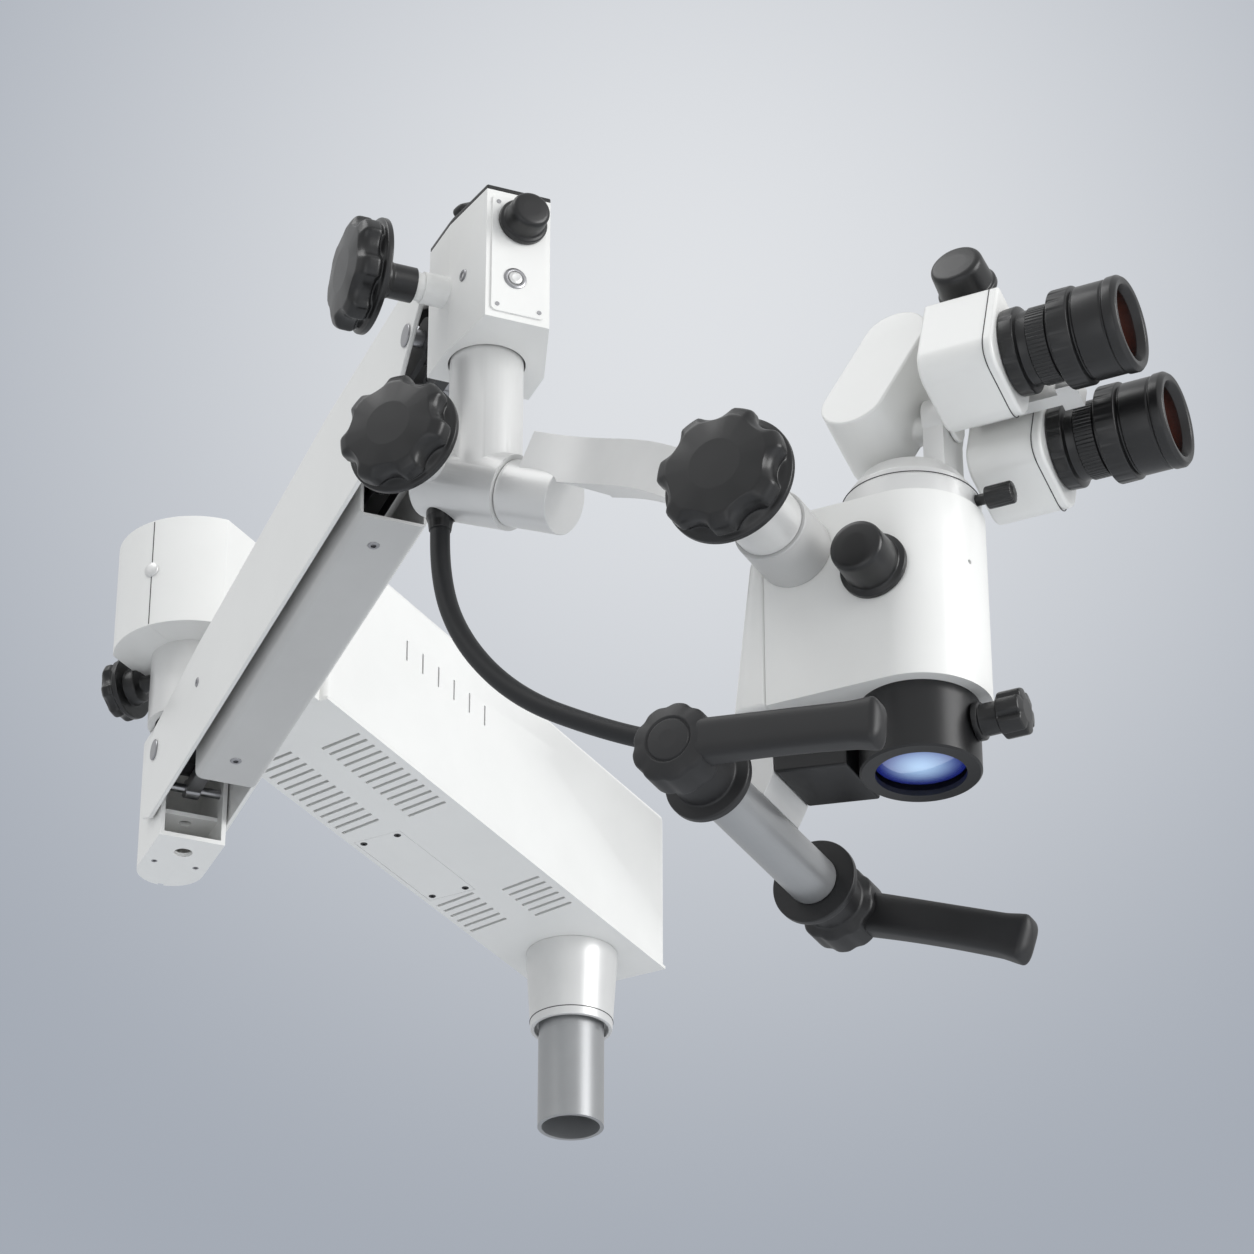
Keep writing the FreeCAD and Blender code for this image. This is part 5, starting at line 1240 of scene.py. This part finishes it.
@dataclass
class Cable:
    """The lamp cable from the yoke's gland to the microscope's rear bracket."""

    radius: float = 5.5
    route: tuple[tuple[float, float], ...] = (
        (-27, -20), (-27, -52), (-11, -96), (23, -137), (72, -167), (112, -186), (149, -207)
    )

    def line(self, name: str, points: Array) -> Array:
        """Read a smooth line along the route's control points.

        Args:
            name: Name for the curve.
            points: Control points in the object's frame, in metres.

        Returns:
            Points along the spline, in metres.
        """
        curve = bpy.data.curves.new(name, "CURVE")
        curve.dimensions = "3D"
        curve.resolution_u = 16
        spline = curve.splines.new("NURBS")
        spline.points.add(len(points) - 1)
        whole = np.concatenate([points, np.ones((len(points), 1))], axis=1)
        spline.points.foreach_set("co", whole.ravel())
        spline.order_u = 3
        spline.use_endpoint_u = True
        holder = bpy.data.objects.new(name, curve)
        bpy.context.scene.collection.objects.link(holder)
        bpy.context.view_layer.update()
        mesh = bpy.data.meshes.new_from_object(holder)
        found = np.zeros(len(mesh.vertices) * 3)
        mesh.vertices.foreach_get("co", found)
        bpy.data.meshes.remove(mesh)
        bpy.data.objects.remove(holder)
        bpy.data.curves.remove(curve)
        return found.reshape(-1, 3)

    def build(self, shop: Shop) -> None:
        """Make the cable's two lengths, split halfway between the route's fourth and fifth marks.

        Args:
            shop: The shop that fits the pieces.
        """
        marks = np.array([(x, 0, z) for x, z in self.route], float)
        split = (marks[3] + marks[4]) / 2
        parts = (
            ("cable_upper", np.vstack([marks[:4], split]), "yoke", "carrier"),
            ("cable_lower", np.vstack([split, marks[4:]]), "carrier", "microscope"),
        )
        for name, points, first, second in parts:
            line = self.line(f"{name}_line", RIG.yoke.put(points))
            piece = tube(f"{name}_form", line / MM, self.radius, Place(), around=24)
            piece.data.materials.append(CABLE_RUBBER.make())
            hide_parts(name)
            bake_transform(piece)
            shop.made += 1


@dataclass
class Studio:
    """Floor, background, lamps and the camera."""

    floor_height: float = -1.75
    focal_length: float = 129.19
    seen_from: tuple[float, float, float] = (2.6492, 1.5036, -1.3345)
    right: tuple[float, float, float] = (-0.4818, 0.8763, 0.0)
    up: tuple[float, float, float] = (0.4382, 0.2409, 0.866)
    back: tuple[float, float, float] = (0.7589, 0.4172, -0.5)
    middle: tuple[float, float, float] = (0.75, 0.4, 0.0)
    pale: tuple[float, float, float] = (0.875, 0.885, 0.9)
    edge: tuple[float, float, float] = (0.645, 0.67, 0.71)

    def backdrop(self) -> None:
        """Make the floor, a large flat disc."""
        radius = np.linspace(0.05, 14, 30)
        profile = np.stack([radius / MM, np.full(30, 0.0)], axis=-1)
        place = Place((500.0, 300.0, self.floor_height / MM))
        piece = turned("floor", profile, place, 96, ends=False)
        finish = Finish("studio floor", self.pale, "white_paint", 0.8, 0.02, shade=0.99)
        piece.data.materials.append(finish.make())

    def world(self) -> None:
        """Light the scene evenly, brighter above, and show a pale background.

        The shown colour runs from pale to its edge tone with the distance between a
        direction and the one that the view's middle lies in.
        """
        world = bpy.data.worlds.new("studio")
        bpy.context.scene.world = world
        world.use_nodes = True
        tree = world.node_tree
        tree.nodes.clear()
        out = tree.nodes.new("ShaderNodeOutputWorld")
        path = tree.nodes.new("ShaderNodeLightPath")
        light = tree.nodes.new("ShaderNodeBackground")
        shown = tree.nodes.new("ShaderNodeBackground")
        where = tree.nodes.new("ShaderNodeTexCoord")
        away = tree.nodes.new("ShaderNodeVectorMath")
        away.operation = "DISTANCE"
        away.inputs[1].default_value = (-0.7335, -0.3855, 0.5628)
        tree.links.new(where.outputs["Generated"], away.inputs[0])
        spread = tree.nodes.new("ShaderNodeMapRange")
        spread.interpolation_type = "SMOOTHSTEP"
        spread.inputs["From Max"].default_value = 0.24
        tree.links.new(away.outputs["Value"], spread.inputs["Value"])
        tint = tree.nodes.new("ShaderNodeMix")
        tint.data_type = "RGBA"
        tint.inputs["A"].default_value = linear(self.pale)
        tint.inputs["B"].default_value = linear(self.edge)
        tree.links.new(spread.outputs["Result"], tint.inputs["Factor"])
        tree.links.new(tint.outputs["Result"], shown.inputs["Color"])
        split = tree.nodes.new("ShaderNodeSeparateXYZ")
        tree.links.new(where.outputs["Generated"], split.inputs["Vector"])
        rise = tree.nodes.new("ShaderNodeMapRange")
        rise.inputs["From Min"].default_value = -1
        rise.inputs["To Min"].default_value = 0.45
        rise.inputs["To Max"].default_value = 0.74
        tree.links.new(split.outputs["Z"], rise.inputs["Value"])
        tree.links.new(rise.outputs["Result"], light.inputs["Strength"])
        light.inputs["Color"].default_value = (0.97, 0.985, 1.0, 1)
        mix = tree.nodes.new("ShaderNodeMixShader")
        tree.links.new(path.outputs["Is Camera Ray"], mix.inputs["Fac"])
        tree.links.new(light.outputs["Background"], mix.inputs[1])
        tree.links.new(shown.outputs["Background"], mix.inputs[2])
        tree.links.new(mix.outputs["Shader"], out.inputs["Surface"])

    def lamp(self, name: str, spot: tuple, aim: tuple, size: float, power: float) -> None:
        """Add a square soft lamp that points at a place.

        Args:
            name: Name of the lamp.
            spot: Where it is, in metres.
            aim: What it points at.
            size: Its side in metres.
            power: Its power in watts.
        """
        data = bpy.data.lights.new(name, "AREA")
        data.size = size
        data.energy = power
        holder = bpy.data.objects.new(name, data)
        way = np.array(aim) - np.array(spot)
        holder.rotation_euler = Vector(way).to_track_quat("-Z", "Y").to_euler()
        holder.location = spot
        bpy.context.scene.collection.objects.link(holder)

    def camera(self) -> None:
        """Place the camera at the photograph's angle, low and looking up."""
        data = bpy.data.cameras.new("view")
        data.sensor_width = 36
        data.lens = self.focal_length
        data.clip_end = 60
        holder = bpy.data.objects.new("view", data)
        turn = Matrix((self.right, self.up, self.back)).transposed().to_4x4()
        turn.translation = self.seen_from
        holder.matrix_world = turn
        bpy.context.scene.collection.objects.link(holder)
        bpy.context.scene.camera = holder

    def build(self) -> None:
        """Set up the whole studio."""
        self.backdrop()
        self.world()
        self.lamp("key", (0.8, 5.0, 0.9), self.middle, 2.8, 135)
        self.lamp("top", (1.9, -0.6, 2.2), self.middle, 1.6, 18)
        self.lamp("low", (2.7, 0.9, -0.9), self.middle, 1.3, 4)
        self.camera()
        bpy.context.scene.view_settings.view_transform = "Standard"


def main() -> None:
    """Build every sub-assembly in order and report it."""
    logging.basicConfig(level=logging.INFO, format="%(message)s")
    relief_group()
    tone_group()
    Studio().build()
    shop = Shop()
    Cable().build(shop)
    for unit in (
        Stand(), BaseArm(), Knuckle(), SpringArm(), Head(), Yoke(), Carrier(), Microscope(),
        Handle("handle_near", "near_handle", -1, 4), Handle("handle_far", "far_handle", 1, 18),
        BinocularTube(),
    ):
        unit.build(shop)
        LOG.info("finished %s", type(unit).__name__)
    LOG.info("%d pieces", shop.made)


if __name__ == "__main__":
    main()
